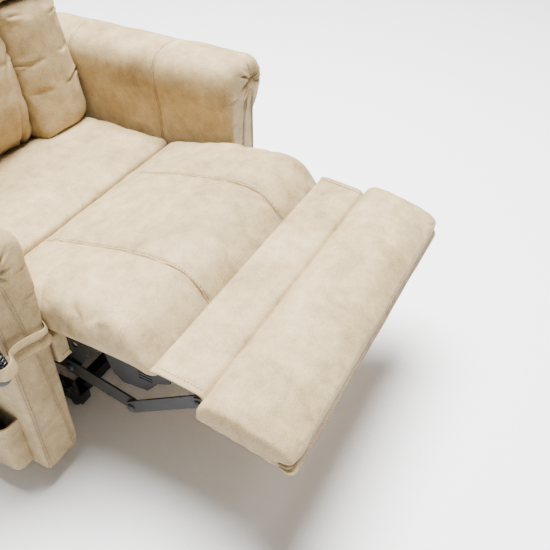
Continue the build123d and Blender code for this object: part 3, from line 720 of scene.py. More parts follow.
def dress_cad_nodes():
    """Give every CAD node the finish of its material slot."""
    slots = {part["node"]: part["material_slot"] for part in frame["record"]["subparts"]}
    for name, node in frame["nodes"].items():
        node.data.materials.clear()
        node.data.materials.append(MATERIAL_OF_SLOT[slots[name]])


dress_cad_nodes()


# ---- handset cord -------------------------------------------------------------------------
CORD_ROUTE = [
    (-0.455, -0.014, 0.264),
    (-0.455, -0.014, 0.316),
    (-0.458, -0.050, 0.354),
    (-0.461, -0.110, 0.358),
    (-0.463, -0.150, 0.394),
    (-0.464, -0.151, 0.446),
    (-0.463, -0.115, 0.482),
    (-0.460, -0.062, 0.482),
    (-0.458, -0.010, 0.466),
    (-0.457, 0.032, 0.432),
    (-0.456, 0.054, 0.384),
    (-0.457, 0.064, 0.326),
    (-0.457, 0.069, 0.262),
    (-0.455, 0.072, 0.200),
    (-0.455, 0.072, 0.132),
]
COIL_R = 0.0067  # to the middle of the wire
CORD_WIRE = 0.0055
COIL_PITCH = 0.0064
TURN_POINTS = 14


def route_line(points):
    """The smooth line of the cord's route, as points read from its spline."""
    data = bpy.data.curves.new("cord_route", "CURVE")
    data.dimensions = "3D"
    spline = data.splines.new("NURBS")
    spline.points.add(len(points) - 1)
    for knot, point in zip(spline.points, points):
        knot.co = (*point, 1)
    spline.order_u = 3
    spline.use_endpoint_u = True
    spline.resolution_u = 16
    curve = bpy.data.objects.new("cord_route", data)
    bpy.context.collection.objects.link(curve)
    mesh = bpy.data.meshes.new_from_object(curve)
    line = np.array([v.co[:] for v in mesh.vertices])
    bpy.data.objects.remove(curve)
    return line


def curly_line(axis_line):
    """The centreline of a curly cord wound round an axis, straight at both ends."""
    axis = resample(axis_line, COIL_PITCH / TURN_POINTS)
    ahead = directions(axis)
    count = len(axis)
    along = np.arange(count) * COIL_PITCH / TURN_POINTS
    from_end = np.minimum(along, along[-1] - along)
    swell = np.clip((from_end - 0.006) / 0.012, 0, 1)
    swell = swell * swell * (3 - 2 * swell)
    angle = np.arange(count) * 2 * math.pi / TURN_POINTS
    out = np.zeros_like(axis)
    normal = np.array([1.0, 0, 0])
    for i in range(count):
        normal = normal - ahead[i] * (normal @ ahead[i])
        normal /= np.linalg.norm(normal)
        side = np.cross(ahead[i], normal)
        out[i] = math.cos(angle[i]) * normal + math.sin(angle[i]) * side
    return axis + out * (COIL_R * swell)[:, None]


def make_cord():
    line = curly_line(route_line(CORD_ROUTE))
    verts, faces = tube_mesh(line, CORD_WIRE / 2)
    cord = add_mesh("curly_handset_cord", verts, faces)
    finish_piece(cord, JACKET, "chair")
    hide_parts("handset_cord")
    return cord


make_cord()


# ---- seat cushion -------------------------------------------------------------------------
def crown(unit):
    """1 in the middle of a cushion's top and 0 at its edges."""
    return (1 - unit[:, 0] ** 2) * (1 - unit[:, 1] ** 2)


SEAT_LOW, SEAT_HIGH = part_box("seat_cushion")
SEAT_HALF = SEAT_HIGH.x
SEAT_LEVEL = 0.379  # the height of the cushion's middle
SEAT_CORE = 0.060  # its thickness before it is crowned and filled
SEAT_ROUND = 0.020


def make_seat_cushion():
    half = (SEAT_HALF, (SEAT_HIGH.y - SEAT_LOW.y) / 2, SEAT_CORE / 2)
    middle = np.array([0, (SEAT_LOW.y + SEAT_HIGH.y) / 2, SEAT_LEVEL])
    local, faces, unit = rounded_box(half, SEAT_ROUND, 0.009)
    local[:, 2] += 0.006 * crown(unit) * (local[:, 2] > 0)
    piece = add_mesh("seat_cushion_cover", local + middle, faces)
    pins = np.clip(1 - (unit[:, 2] + 0.4) * 2, 0, 1)
    pins = np.maximum(pins, bell(np.abs(unit[:, 1]) - 1, 0.03) * 0.6)
    inflate(piece, pins, pressure=3.0, slack=0.02, cap=0.010)
    points = get_points(piece)
    points[:, 1] = np.clip(points[:, 1], SEAT_LOW.y + 0.0002, None)
    points[:, 0] = np.clip(points[:, 0], -SEAT_HALF - 0.003, SEAT_HALF + 0.003)
    sag = 0.004 * bell(points[:, 0], 0.16) * bell(points[:, 1] - 0.22, 0.10)
    top = np.clip((points[:, 2] - 0.385) / 0.02, 0, 1)
    points[:, 2] += top * (0.0012 * ripple(points, 0.20, 3, (1, 1, 0)) - sag)
    set_points(piece, points)
    subdivide(piece)
    finish_padded(piece, 0.8, "seat_cushion", body="chair")


# ---- chaise pad: one cover from the seat seam over the leg rest ---------------------------
CHAISE_REAR = SEAT_LOW.y - 0.0006
CHAISE_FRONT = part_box("legrest_pad")[0].y - 0.0005
CHAISE_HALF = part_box("legrest_pad")[1].x - 0.004
LONG_SEAM = 0.150  # from the middle to each of the pad's two long seams
TOPSTITCH = 0.0062  # from a long seam to its stitching
ARM_CORNER = (0.356, -0.128)  # where the pad comes out past the arms' fronts
CHAISE_TOP = profile(
    [
        (0.0715, 0.400),
        (0.060, 0.407),
        (0.012, 0.421),
        (-0.080, 0.444),
        (-0.160, 0.461),
        (-0.222, 0.467),
        (-0.276, 0.466),
        (-0.304, 0.461),
        (-0.321, 0.451),
        (-0.334, 0.435),
        (-0.346, 0.418),
        (-0.358, 0.403),
        (-0.370, 0.392),
    ],
    0.005,
)
CHAISE_UNDER = profile([(0.0715, 0.352), (-0.080, 0.352), (-0.110, 0.377), (-0.368, 0.377)], 0.008)


def make_chaise_pad():
    half = (CHAISE_HALF - 0.004, (CHAISE_REAR - CHAISE_FRONT) / 2, 0.040)
    seams = ((0, (-LONG_SEAM, LONG_SEAM), 0.010),)
    local, faces, unit = rounded_box(half, 0.028, 0.0078, seams)
    y = local[:, 1] + (CHAISE_REAR + CHAISE_FRONT) / 2
    share = (local[:, 2] + half[2]) / (2 * half[2])
    low, high = CHAISE_UNDER(y), CHAISE_TOP(y)
    z = low + share * (high - low)
    waist = 0.006 * np.clip((y + 0.118) / 0.03, 0, 1)  # squeezed where it lies between the arms
    x = local[:, 0] - np.sign(local[:, 0]) * waist * (np.abs(unit[:, 0]) ** 8)
    piece = add_mesh("chaise_pad_cover", np.stack([x, y, z], axis=1), faces)
    seam = np.abs(np.abs(x) - LONG_SEAM)
    on_top = (unit[:, 2] > 0.2) & (y < 0.045)
    pins = np.clip(-unit[:, 2] * 3 - 1.2, 0, 1)
    pins = np.maximum(pins, (seam < 0.0030) * on_top)
    pins = np.maximum(pins, 0.9 * (unit[:, 1] > 0.97))
    pins = np.maximum(pins, 0.7 * (unit[:, 1] < -0.97) * (unit[:, 2] < 0.3))
    inflate(piece, pins, pressure=4.0, slack=0.02, cap=0.010)
    shape_chaise(piece)
    return piece


def shape_chaise(piece):
    subdivide(piece)
    points = get_points(piece)
    x, y, z = points.T
    top = np.clip((z - CHAISE_TOP(y) + 0.03) / 0.03, 0, 1)
    # folds that fan out from each arm's front corner
    for side, depth, seed in ((-1, 0.0100, 5), (1, 0.0040, 9)):
        dx, dy = ARM_CORNER[0] - side * x, y - ARM_CORNER[1]
        angle, reach = np.arctan2(dy, dx), np.hypot(dx, dy)
        fan = np.clip(reach / 0.03, 0, 1) * bell(np.clip(reach - 0.05, 0, None), 0.065)
        fan *= bell(angle - 1.05, 0.50)
        folds = np.sin(angle * 15 + 0.9 * ripple(points, 0.25, seed))
        z = z - depth * fan * top * (np.clip(folds, 0, 1) ** 2.5 - 0.25)
    z = z + top * 0.0014 * ripple(points, 0.19, 21, (1, 1, 0))
    roll = np.clip((-0.330 - y) / 0.03, 0, 1)
    z = z + roll * top * 0.0010 * ripple(points, 0.05, 23, (1, 0.3, 0))
    points = np.stack([x, np.clip(y, CHAISE_FRONT + 0.0006, CHAISE_REAR), z], axis=1)
    set_points(piece, points)
    for side in (-1, 1):
        seam = points[:, 0] - side * LONG_SEAM
        distance = np.where((points[:, 1] < 0.05) & (top > 0.15), seam, 1.0)
        press_seam(piece, distance, width=0.0016, depth=0.0026, ridge=0.0008)
        press_seam(piece, distance - TOPSTITCH, width=0.0013, depth=0.0010)
    finish_padded(piece, 0.75, "chaise_pad_rear", "legrest_pad")


# ---- flap between the leg pad and the end pad ---------------------------------------------
FLAP_WRINKLES = (
    # place across, lean, height
    (-0.262, 0.35, 0.0026),
    (-0.236, -0.20, 0.0018),
    (-0.205, 0.30, 0.0012),
    (0.060, 0.20, 0.0010),
)
FLAP_LEVEL = 0.4165
FLAP_TUCK = (0.006, 0.016)  # how far it goes under the leg pad and under the end pad
HEM = 0.014


def make_flap():
    low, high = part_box("leg_flap")
    half = high.x + 0.001
    rear, front = high.y + FLAP_TUCK[0], low.y - FLAP_TUCK[1]
    across, along = 190, 34
    t = np.linspace(0, 1, along + 1)
    s = np.linspace(-1, 1, across + 1)
    grid_s, grid_t = np.meshgrid(s, t)
    x = grid_s.ravel() * half
    y = (rear + (front - rear) * grid_t).ravel()
    flat = np.stack([x, y, np.zeros_like(x)], axis=1)
    z = FLAP_LEVEL - 0.0120 * grid_t.ravel()
    middle = np.sin(math.pi * grid_t.ravel()) ** 0.7
    z += 0.0009 * middle * ripple(flat, 0.16, 41, (1.6, 0.35, 0))
    for place, lean, height in FLAP_WRINKLES:
        z += height * middle * bell(x - place - lean * (y - low.y), 0.0075)
    z -= 0.004 * np.clip(1 - grid_t.ravel() * 9, 0, 1)
    z -= 0.012 * np.clip((grid_t.ravel() - 0.66) / 0.34, 0, 1) ** 2
    z -= 0.009 * bell(y - low.y, 0.006)
    hem = half - np.abs(x)
    z += 0.0012 * (hem < HEM) - 0.0012 * bell(hem - HEM, 0.0022)
    points = np.stack([x, y, z], axis=1)
    piece = add_mesh("leg_flap_cloth", points, grid_faces(along + 1, across + 1))
    thicken(piece, 0.0022, -1)
    finish_piece(piece, SUEDE)
    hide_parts("leg_flap")
    return piece, (2 * half, rear - front)


def make_dust_cover():
    """Black cloth stapled under the leg rest, which hides its board and brackets' inside; it is partly a
    real dust cover and partly a dark sheet standing in for painted shade under the pad.
    """
    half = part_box("legrest_brackets")[1].x - 0.0065
    path = [
        (0, -0.228, 0.346),
        (0, -0.240, 0.308),
        (0, -0.262, 0.292),
        (0, -0.318, 0.294),
        (0, -0.342, 0.318),
        (0, -0.356, 0.334),
        (0, -0.360, 0.360),
    ]
    line = smooth_line(path, 0.006)
    across = np.linspace(-half, half, 91)
    points = []
    for _, y, z in line:
        for x in across:
            slack = 0.0015 * math.sin(x * 37)
            sag = 0.0030 * math.sin(x * 19 + y * 40)
            points.append((x, y + slack, z + sag))
    # painted shade: this black sheet also fills the shaded space under the leg pad
    piece = add_mesh("legrest_dust_cover", points, grid_faces(len(line), len(across)))
    thicken(piece, 0.0012, 0)
    finish_piece(piece, DUST, "legrest")


# ---- end pad ------------------------------------------------------------------------------
END_LOW, END_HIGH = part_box("end_pad")
END_SLOPE = math.radians(11.5)
END_LEVEL = 0.414  # the height of the end rest's top rear edge


def end_place(points):
    """From across, along and above the end rest's top rear edge to the row frame."""
    x, along, up = points.T
    c, s = math.cos(END_SLOPE), math.sin(END_SLOPE)
    y = END_HIGH.y - along * c - up * s
    z = END_LEVEL - along * s + up * c
    return np.stack([x, y, z], axis=1)


END_LENGTH = (END_HIGH.y - END_LOW.y) / math.cos(END_SLOPE)
END_CROWN = profile(
    [
        (-0.002, -0.020),
        (0.003, -0.010),
        (0.009, 0.003),
        (0.022, 0.0110),
        (0.050, 0.0155),
        (0.090, 0.0155),
        (0.135, 0.0135),
        (0.162, 0.0085),
        (0.178, 0.000),
        (0.188, -0.010),
    ],
    0.0035,
)
END_CORE = 0.047
FRONT_SEAMS = (0.0245, 0.0315)  # down from the end rest's top edge
END_FOOT = 0.044  # from the end rest's top edge down to the pad's underside


def make_end_pad():
    half = (END_HIGH.x - 0.003, END_LENGTH / 2, END_CORE / 2)
    seams = ((2, (-0.0025, -0.0095), 0.005), (1, (-END_LENGTH / 2 + 0.01,), 0.02))
    local, faces, unit = rounded_box(half, 0.0125, 0.0070, seams)
    along = END_LENGTH / 2 - local[:, 1]
    share = local[:, 2] / END_CORE + 0.5
    edge = np.clip((half[0] - np.abs(local[:, 0])) / 0.045, 0, 1)
    side_drop = 0.0035 * (1 - edge) ** 2.2
    up = -END_FOOT + share * (END_CROWN(along) - side_drop - 0.001 + END_FOOT)
    x = local[:, 0]
    piece = add_mesh("end_pad_cover", end_place(np.stack([x, along, up], axis=1)), faces)
    pins = np.clip(-unit[:, 2] * 3 - 1.2, 0, 1)
    pins = np.maximum(pins, 0.8 * (unit[:, 1] > 0.98))
    pins = np.maximum(pins, 0.9 * (np.abs(unit[:, 0]) > 0.96))
    pins = np.maximum(pins, 0.9 * (unit[:, 1] < -0.94))
    inflate(piece, pins, pressure=4.0, slack=0.012, cap=0.005)
    shape_end_pad(piece)
    return finish_padded(piece, 0.7, "end_pad", body="end_rest")


def shape_end_pad(piece):
    """Ripple the cover, fold its front corners in and press in the front edge's two seams."""
    subdivide(piece)
    points = get_points(piece)
    top = np.clip((get_normals(piece)[:, 2] - 0.1) / 0.5, 0, 1)
    inner = np.clip((0.36 - np.abs(points[:, 0])) / 0.05, 0, 1)
    points[:, 2] += top * inner * 0.0011 * ripple(points, 0.17, 51, (1, 1, 0))
    near = bell(points[:, 0] + 0.375, 0.05)
    points[:, 2] += near * 0.0008 * ripple(points, 0.10, 53, (1, 1.6, 1))
    for side in (-1, 1):
        pucker = bell(points[:, 0] - side * 0.374, 0.016) * ripple(points, 0.028, 55, (0.2, 1, 0.4))
        points[:, 0] += side * 0.0006 * pucker
    # the corners are folded in where the top meets the boxing strip
    across, along, up = end_local(points)
    for side in (-1, 1):
        notch = bell(np.abs(across) - END_HIGH.x, 0.022) * (across * side > 0)
        notch *= bell(up + 0.024, 0.006) * bell(along - END_LENGTH, 0.020)
        points[:, 0] -= side * 0.011 * notch
        points[:, 1] += 0.009 * notch
    points[:, 1] = np.minimum(points[:, 1], END_HIGH.y - 0.0005)
    set_points(piece, points)
    on_front = along > END_LENGTH - 0.025
    for level in FRONT_SEAMS:
        seam = np.where(on_front, up + level, 1.0)
        press_seam(piece, seam, width=0.0017, depth=0.0032, ridge=0.0010)


def end_local(points):
    """Across, along and above the end rest's top rear edge, from the row frame."""
    c, s = math.cos(END_SLOPE), math.sin(END_SLOPE)
    back, rise = END_HIGH.y - points[:, 1], points[:, 2] - END_LEVEL
    return points[:, 0], back * c - rise * s, back * s + rise * c


def make_end_lip():
    """The boxing strip under the end pad's front edge, which stands out a little past it."""
    width, sections = END_HIGH.x - 0.007, 150
    xs = np.linspace(-width, width, sections + 1)
    outline = [
        (-0.008, -0.0285),
        (0.0005, -0.0290),
        (0.0045, -0.0330),
        (0.0060, -0.0400),
        (0.0045, -0.0480),
        (-0.002, -0.0535),
        (-0.020, -0.0525),
        (-0.028, -0.047),
        (-0.018, -0.034),
    ]
    ring = smooth_loop([(0, a, b) for a, b in outline], 0.0025)[:, 1:]
    rows = []
    for x in xs:
        end = np.clip((width - abs(x)) / 0.016, 0, 1)
        close = 0.35 + 0.65 * math.sqrt(end * (2 - end))
        middle = ring.mean(0)
        cut = middle + (ring - middle) * close
        wave = 0.0006 * math.sin(x * 23 + 1.3) + 0.0003 * math.sin(x * 61)
        along = END_LENGTH + cut[:, 0] + wave
        rows.append(end_place(np.stack([np.full(len(cut), x), along, cut[:, 1]], axis=1)))
    piece = loft_piece("end_pad_lip", rows)
    finish_piece(piece, SUEDE, body="end_rest")
    return piece


make_seat_cushion()
chaise_cover = make_chaise_pad()
flap_cloth, flap_size = make_flap()
make_dust_cover()
end_cover = make_end_pad()
end_lip = make_end_lip()


# ---- thread on the seat and footrest ------------------------------------------------------
def sew_chaise():
    tree = surface_of(chaise_cover)
    rows = []
    for side in (-1, 1):
        x = side * LONG_SEAM + TOPSTITCH
        path = [(x, y, 0.43) for y in np.linspace(0.040, -0.352, 60)]
        rows.append((tree, path, (0, 0, -1)))
        roll = [(x, -0.37, z) for z in np.linspace(0.434, 0.410, 6)]
        rows.append((tree, roll, (0, 1, -0.15)))
    return seam_thread("chaise_stitching", rows)


def sew_flap():
    tree = surface_of(flap_cloth)
    low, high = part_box("leg_flap")
    rows = []
    for side in (-1, 1):
        x = side * (high.x - 0.011)
        rows.append((tree, [(x, high.y - 0.003, 0.41), (x, low.y + 0.006, 0.41)], (0, 0, -1)))
    return seam_thread("flap_hem_stitching", rows)


def sew_end_pad():
    tree = surface_of(end_cover, end_lip)
    half = END_HIGH.x - 0.022
    rows = []
    for level in (FRONT_SEAMS[0] - 0.004, FRONT_SEAMS[1] + 0.004):
        line = [(x, END_LENGTH + 0.005, -level) for x in np.linspace(-half, half, 120)]
        rows.append((tree, end_place(np.array(line)), (0, 1, 0.2)))
    return seam_thread("end_pad_stitching", rows, "end_rest")


chaise_thread = sew_chaise()
flap_thread = sew_flap()
sew_end_pad()

for piece in (chaise_cover, chaise_thread):
    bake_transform(piece)
for piece in (flap_cloth, flap_thread):
    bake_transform(piece)


# ---- arms ---------------------------------------------------------------------------------
ARM_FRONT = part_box("arm_front_panel_left")[0].y
ARM_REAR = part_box("arm_outer_panel_left")[1].y
ARM_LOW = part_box("arm_outer_panel_left")[0].z
CROSS_SEAMS = (0.094, 0.357)
GATHER = np.array([0.421, 0.577])  # where the arm front's pleats meet, across and up
ARM_SECTION = [
    (0.3430, ARM_LOW + 0.003),
    (0.3415, 0.100),
    (0.3405, 0.250),
    (0.3400, 0.360),
    (0.3400, 0.420),
    (0.3375, 0.470),
    (0.3320, 0.520),
    (0.3270, 0.560),
    (0.3290, 0.594),
    (0.3430, 0.620),
    (0.3720, 0.6355),
    (0.4080, 0.6390),
    (0.4450, 0.6340),
    (0.4730, 0.6150),
    (0.4890, 0.5850),
    (0.4900, 0.5540),
    (0.4800, 0.5270),
    (0.4620, 0.5080),
    (0.4440, 0.4960),
    (0.4385, 0.4700),
    (0.4372, 0.4000),
    (0.4372, 0.2500),
    (0.4370, 0.1000),
    (0.4350, ARM_LOW + 0.003),
    (0.3900, ARM_LOW),
]
SPINE = np.array([(0.402, 0.085), (0.403, 0.500), (0.408, 0.545), GATHER])
# the sewn front panel's edges: across, by height
PANEL_EDGE = [
    (0.3585, 0.064),
    (0.3660, 0.200),
    (0.3750, 0.310),
    (0.3840, 0.400),
    (0.3925, 0.480),
    (0.4010, 0.535),
    (0.4110, 0.556),
    (0.4200, 0.561),
    (0.4285, 0.553),
    (0.4320, 0.530),
    (0.4315, 0.480),
    (0.4305, 0.300),
    (0.4290, 0.064),
]


def nearest_on(line, points):
    """The nearest points of a polyline to flat points."""
    best = np.full(len(points), 1e9)
    place = np.zeros_like(points)
    for a, b in zip(line, line[1:]):
        share = np.clip(((points - a) @ (b - a)) / ((b - a) @ (b - a)), 0, 1)
        spot = a + share[:, None] * (b - a)
        gap = np.linalg.norm(points - spot, axis=1)
        closer = gap < best
        best[closer], place[closer] = gap[closer], spot[closer]
    return place


def arm_cap(loop, face, inwards):
    """Rings that close an arm's end: a rounded edge, then in to the spine. inwards is +1 or -1."""
    spine = nearest_on(SPINE, loop)
    away = np.linalg.norm(loop - spine, axis=1)
    on_roll = np.clip((loop[:, 1] - 0.50) / 0.05, 0, 1)
    radius = 0.009 + 0.017 * on_roll
    toward = (spine - loop) / away[:, None]
    rings = []
    for share in np.linspace(0, 1, 9):
        angle = share * math.pi / 2
        flat = loop + toward * (radius * (1 - math.cos(angle)))[:, None]
        y = face + inwards * radius * (1 - math.sin(angle))
        rings.append(np.stack([flat[:, 0], y, flat[:, 1]], axis=1))
    for share in np.linspace(0, 1, 20)[1:]:
        inset = radius + (away - radius) * share * 0.985
        flat = loop + toward * inset[:, None]
        rings.append(np.stack([flat[:, 0], np.full(len(loop), face), flat[:, 1]], axis=1))
    return rings


def arm_stations():
    """Places along the arm for its rings, close together at the cross seams."""
    near = (0.0008, 0.0018, 0.003, 0.0045, 0.0065, 0.009, 0.012)
    stops = set(np.round(np.arange(ARM_FRONT + 0.032, ARM_REAR - 0.030, 0.0078), 4))
    for seam in CROSS_SEAMS:
        stops = {s for s in stops if abs(s - seam) > 0.014}
        stops |= {seam + sense * step for step in near for sense in (-1, 1)} | {seam}
    return sorted(stops)


PLEATS = (
    # direction from the gather in degrees, depth, angular width
    (142, 0.0150, 4.5),
    (104, 0.0060, 4.5),
    (64, 0.0115, 5.0),
    (20, 0.0110, 5.0),
    (-22, 0.0090, 4.5),
    (182, 0.0085, 5.0),
    (212, 0.0060, 4.5),
)


def pleats(angle, reach):
    """How deep the pleats round the gather lie, by direction and distance from it."""
    depth = np.zeros(len(angle))
    for way, deep, wide in PLEATS:
        bent = (angle - way - 260 * (reach - 0.02) + 180) % 360 - 180
        depth += deep * (bell(bent, wide) - 0.4 * bell(np.abs(bent) - 2.2 * wide, wide))
    return depth * bell(reach - 0.022, 0.021)


def shape_arm_body(points, out):
    """Swell the padding between the cross seams and draw the seams in."""
    y, z = points[:, 1], points[:, 2]
    body = np.clip((y - ARM_FRONT - 0.02) / 0.03, 0, 1) * np.clip((ARM_REAR - 0.02 - y) / 0.03, 0, 1)
    above = np.clip((z - 0.40) / 0.08, 0, 1)
    stops = (ARM_FRONT - 0.01, *CROSS_SEAMS, ARM_REAR + 0.01)
    swell = np.zeros(len(points))
    for a, b in zip(stops, stops[1:]):
        inside = (y >= a) & (y < b)
        swell[inside] = np.sin(math.pi * (y[inside] - a) / (b - a)) ** 0.35
    push = above * body * 0.0020 * (swell - 0.8)
    for seam in CROSS_SEAMS:
        groove = -0.0032 * bell(y - seam, 0.0017) + 0.0011 * bell(y - seam + 0.0042, 0.0022)
        push += body * (groove - 0.0009 * bell(y - seam - 0.0055, 0.0012))
    push += body * (0.0009 * above * ripple(points, 0.20, 61) + 0.0005 * ripple(points, 0.09, 63))
    return points + out * push[:, None]


def shape_arm_front(points, out):
    """Dome the end of the roll and pleat it round the gather."""
    x, y, z = points.T
    near = np.clip(1 - (y - ARM_FRONT) / 0.030, 0, 1)
    radial = points[:, [0, 2]] - GATHER
    reach = np.hypot(radial[:, 0], radial[:, 1])
    angle = np.degrees(np.arctan2(radial[:, 1], radial[:, 0]))
    roll = np.clip((z - 0.520) / 0.03, 0, 1)
    push = near * roll * (0.0065 * bell(reach - 0.036, 0.022) - 0.011 * bell(reach, 0.008))
    push -= near * roll * pleats(angle, reach)
    below = np.clip((0.55 - z) / 0.02, 0, 1)
    push += near * below * 0.0008 * ripple(points, 0.10, 66, (1, 0, 0.8))
    points = points + out * push[:, None]
    # small pulls where the inner cover is eased on to the front panel
    edge = bell(x - 0.350, 0.014) * bell(y - ARM_FRONT, 0.020)
    for level, depth in ((0.487, 0.0038), (0.548, 0.0040), (0.410, 0.0016), (0.285, 0.0014)):
        dip = depth * edge * bell(z - level - 0.2 * (x - 0.35), 0.0035)
        points[:, 0] += dip
        points[:, 1] += dip
    return points


def make_arm(name, side):
    """One closed arm cover: the roll, both faces, and the pleated and panelled front."""
    loop = smooth_loop([(0, x, z) for x, z in ARM_SECTION], 0.0046)[:, 1:]
    rows = arm_cap(loop, ARM_FRONT, 1)[::-1]
    for y in arm_stations():
        rows.append(np.stack([loop[:, 0], np.full(len(loop), y), loop[:, 1]], axis=1))
    rows += arm_cap(loop, ARM_REAR, -1)
    piece = loft_piece(f"arm_cover_{name}", rows)
    points, out = get_points(piece), get_normals(piece)
    for face, sense in ((ARM_FRONT, -1), (ARM_REAR, 1)):
        out[np.abs(points[:, 1] - face) < 0.0004] = (0, sense, 0)
    points = shape_arm_front(shape_arm_body(points, out), out)
    points[:, 1] = np.clip(points[:, 1], ARM_FRONT - 0.012, ARM_REAR + 0.003)
    points[:, 0] *= side
    set_points(piece, points)
    fix_normals(piece)
    nodes = ("arm_pad", "arm_inner_panel", "arm_outer_panel", "arm_front_panel")
    return finish_padded(piece, 0.85, *(f"{node}_{name}" for node in nodes), body="chair")


def lay_band(name, tree, path, aim, width, thick, body, lift=0.0):
    """A flat sewn band laid on a surface along a path."""
    spots, normals = lay_on(tree, smooth_line(path, 0.004), aim)
    for _ in range(3):
        normals[1:-1] = (normals[:-2] + normals[1:-1] + normals[2:]) / 3
        spots[1:-1] = (spots[:-2] + 2 * spots[1:-1] + spots[2:]) / 4
    ahead = np.gradient(spots, axis=0)
    rows = ribbon(spots + normals * lift, width, thick, np.cross(ahead, normals))
    return finish_piece(loft_piece(name, rows), SUEDE, body=body)


def sew_arm(name, side, cover):
    """The front panel's sewn band, and the thread along it and beside the cross seams."""
    tree = surface_of(cover)
    rows = []
    for seam in CROSS_SEAMS:
        y = seam + 0.0055
        for a in np.linspace(-0.35, math.pi, 90):
            way = (-side * math.cos(a), 0, -math.sin(a))
            start = np.array((side * 0.405, y, 0.560)) - 0.16 * np.array(way)
            turn = 0.020 * np.array((side * math.sin(a), 0, -math.cos(a)))
            rows.append((tree, [start, start + turn], way))
        rows.append((tree, [(side * 0.30, y, z) for z in np.linspace(0.555, 0.40, 60)], (side, 0, 0)))
    edge = smooth_line([(side * x, ARM_FRONT - 0.03, z) for x, z in PANEL_EDGE], 0.004)
    band = lay_band(f"arm_front_welt_{name}", tree, edge, (0, 1, 0), 0.0078, 0.0022, "chair", 0.0003)
    band_tree = surface_of(band)
    sideways = np.cross(directions(edge), (0, 1, 0))
    for offset in (-0.0024, 0.0024):
        rows.append((band_tree, edge + sideways * offset, (0, 1, 0)))
    return seam_thread(f"arm_stitching_{name}", rows, "chair")


def make_arms():
    for name, side in SIDES:
        sew_arm(name, side, make_arm(name, side))
        frame["nodes"][f"arm_frame_{name}"].data.materials[0] = WOOD


make_arms()


# ---- back ---------------------------------------------------------------------------------
BACK_HINGE = (0.450, 0.300)  # the back's pivot, along and up
BACK_LEAN = math.radians(8.0)
BACK_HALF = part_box("back_outer_cover")[1].x
BACK_TOP = 0.792
PILLOW_REAR = -0.028
PILLOW_FRONT = -0.148
BACK_REAR = 0.0949
YOKE_SEAM = 0.640  # up the back's outside
SIDE_SEAM = 0.292  # from its middle


def back_place(points):
    """From across, depth behind the hinge and height up the back to the row frame."""
    x, depth, height = points.T
    s, c = math.sin(BACK_LEAN), math.cos(BACK_LEAN)
    y = BACK_HINGE[0] + height * s + depth * c
    z = BACK_HINGE[1] + height * c - depth * s
    return np.stack([x, y, z], axis=1)


def back_local(points):
    s, c = math.sin(BACK_LEAN), math.cos(BACK_LEAN)
    y, z = points[:, 1] - BACK_HINGE[0], points[:, 2] - BACK_HINGE[1]
    return np.stack([points[:, 0], y * c - z * s, y * s + z * c], axis=1)


def tuck(points, out, tip, end, depth, width):
    """Press a crease into a pillow's front from tip, where it is deepest, to end.

    tip and end are places across and up the back.
    """
    flat = back_local(points)[:, [0, 2]]
    a, b = np.array(tip), np.array(end)
    share = np.clip(((flat - a) @ (b - a)) / ((b - a) @ (b - a)), 0, 1)
    gap = np.linalg.norm(flat - (a + share[:, None] * (b - a)), axis=1)
    press = depth * (1 - share) ** 0.8 * (bell(gap, width) - 0.45 * bell(gap - 2.6 * width, 1.6 * width))
    return points - out * (press * (out[:, 1] < 0.2))[:, None]


def make_pillow(name, spans, radius, node, bend=None, seed=0, creases=()):
    """A stuffed back pillow; spans are its limits across, in depth and in height."""
    low, high = (np.array([span[i] for span in spans]) for i in (0, 1))
    half = (high - low) / 2 - 0.004
    levels = sorted({round((tip[1] + end[1] - low[2] - high[2]) / 2, 3) for tip, end, _, _ in creases})
    local, faces, unit = rounded_box(half, radius, 0.0092, ((2, levels, 0.016),))
    local = local + (low + high) / 2
    if bend:
        local = bend(local, unit)
    piece = add_mesh(name, back_place(local), faces)
    pins = np.clip(unit[:, 1] * 2.5 - 0.6, 0, 1)
    rim = np.maximum(np.abs(unit[:, 0]), np.abs(unit[:, 2]))
    pins = np.maximum(pins, 0.35 * (rim > 0.98))
    inflate(piece, pins, pressure=4.5, slack=0.03, cap=0.016)
    subdivide(piece)
    points, out = get_points(piece), get_normals(piece)
    front = np.clip(-out[:, 1] * 1.6 - 0.1, 0, 1)
    swell = 0.0022 * ripple(points, 0.20, seed, (1, 1, 0.8)) + 0.0006 * ripple(points, 0.07, seed + 1)
    points = points + out * (front * swell)[:, None]
    for tip, end, depth, width in creases:
        points = tuck(points, out, tip, end, depth, width)
    set_points(piece, points)
    finish_padded(piece, 0.6, node, body="backrest")


def bolster_bend(side):
    """Lean a bolster's inner edge and round off its lower outer corner."""

    def bend(local, unit):
        x, depth, height = local.T
        inner = np.clip((1 - side * unit[:, 0]) / 2, 0, 1)
        lean = np.interp(height, [0.10, 0.43], [0.004, -0.018])
        x = x + side * inner * lean
        over = np.clip((side * x - 0.258) / 0.070, 0, None)
        under = np.clip((0.172 - height) / 0.070, 0, None)
        shrink = 1 / np.maximum(np.hypot(over, under), 1)
        x = np.where(over > 0, side * (0.258 + 0.070 * over * shrink), x)
        height = np.where(under > 0, 0.172 - 0.070 * under * shrink, height)
        return np.stack([x, depth, height], axis=1)

    return bend


def centre_bend(local, unit):
    """Narrow the centre pad upwards and set its foot back."""
    x, depth, height = local.T
    narrow = np.interp(height, [0.10, 0.20, 0.43], [1.10, 1.05, 0.90])
    tucked = np.interp(height, [0.10, 0.14, 0.20, 0.28], [0.050, 0.030, 0.006, 0.0])
    return np.stack([x * narrow, depth + tucked * (unit[:, 1] < 0.2), height], axis=1)


LOWER_SPAN = (0.101, 0.430)
SHOULDER_SPAN = (0.432, 0.612)
HEAD_SPAN = (0.614, BACK_TOP)
PILLOW_OUT = BACK_HALF + 0.008


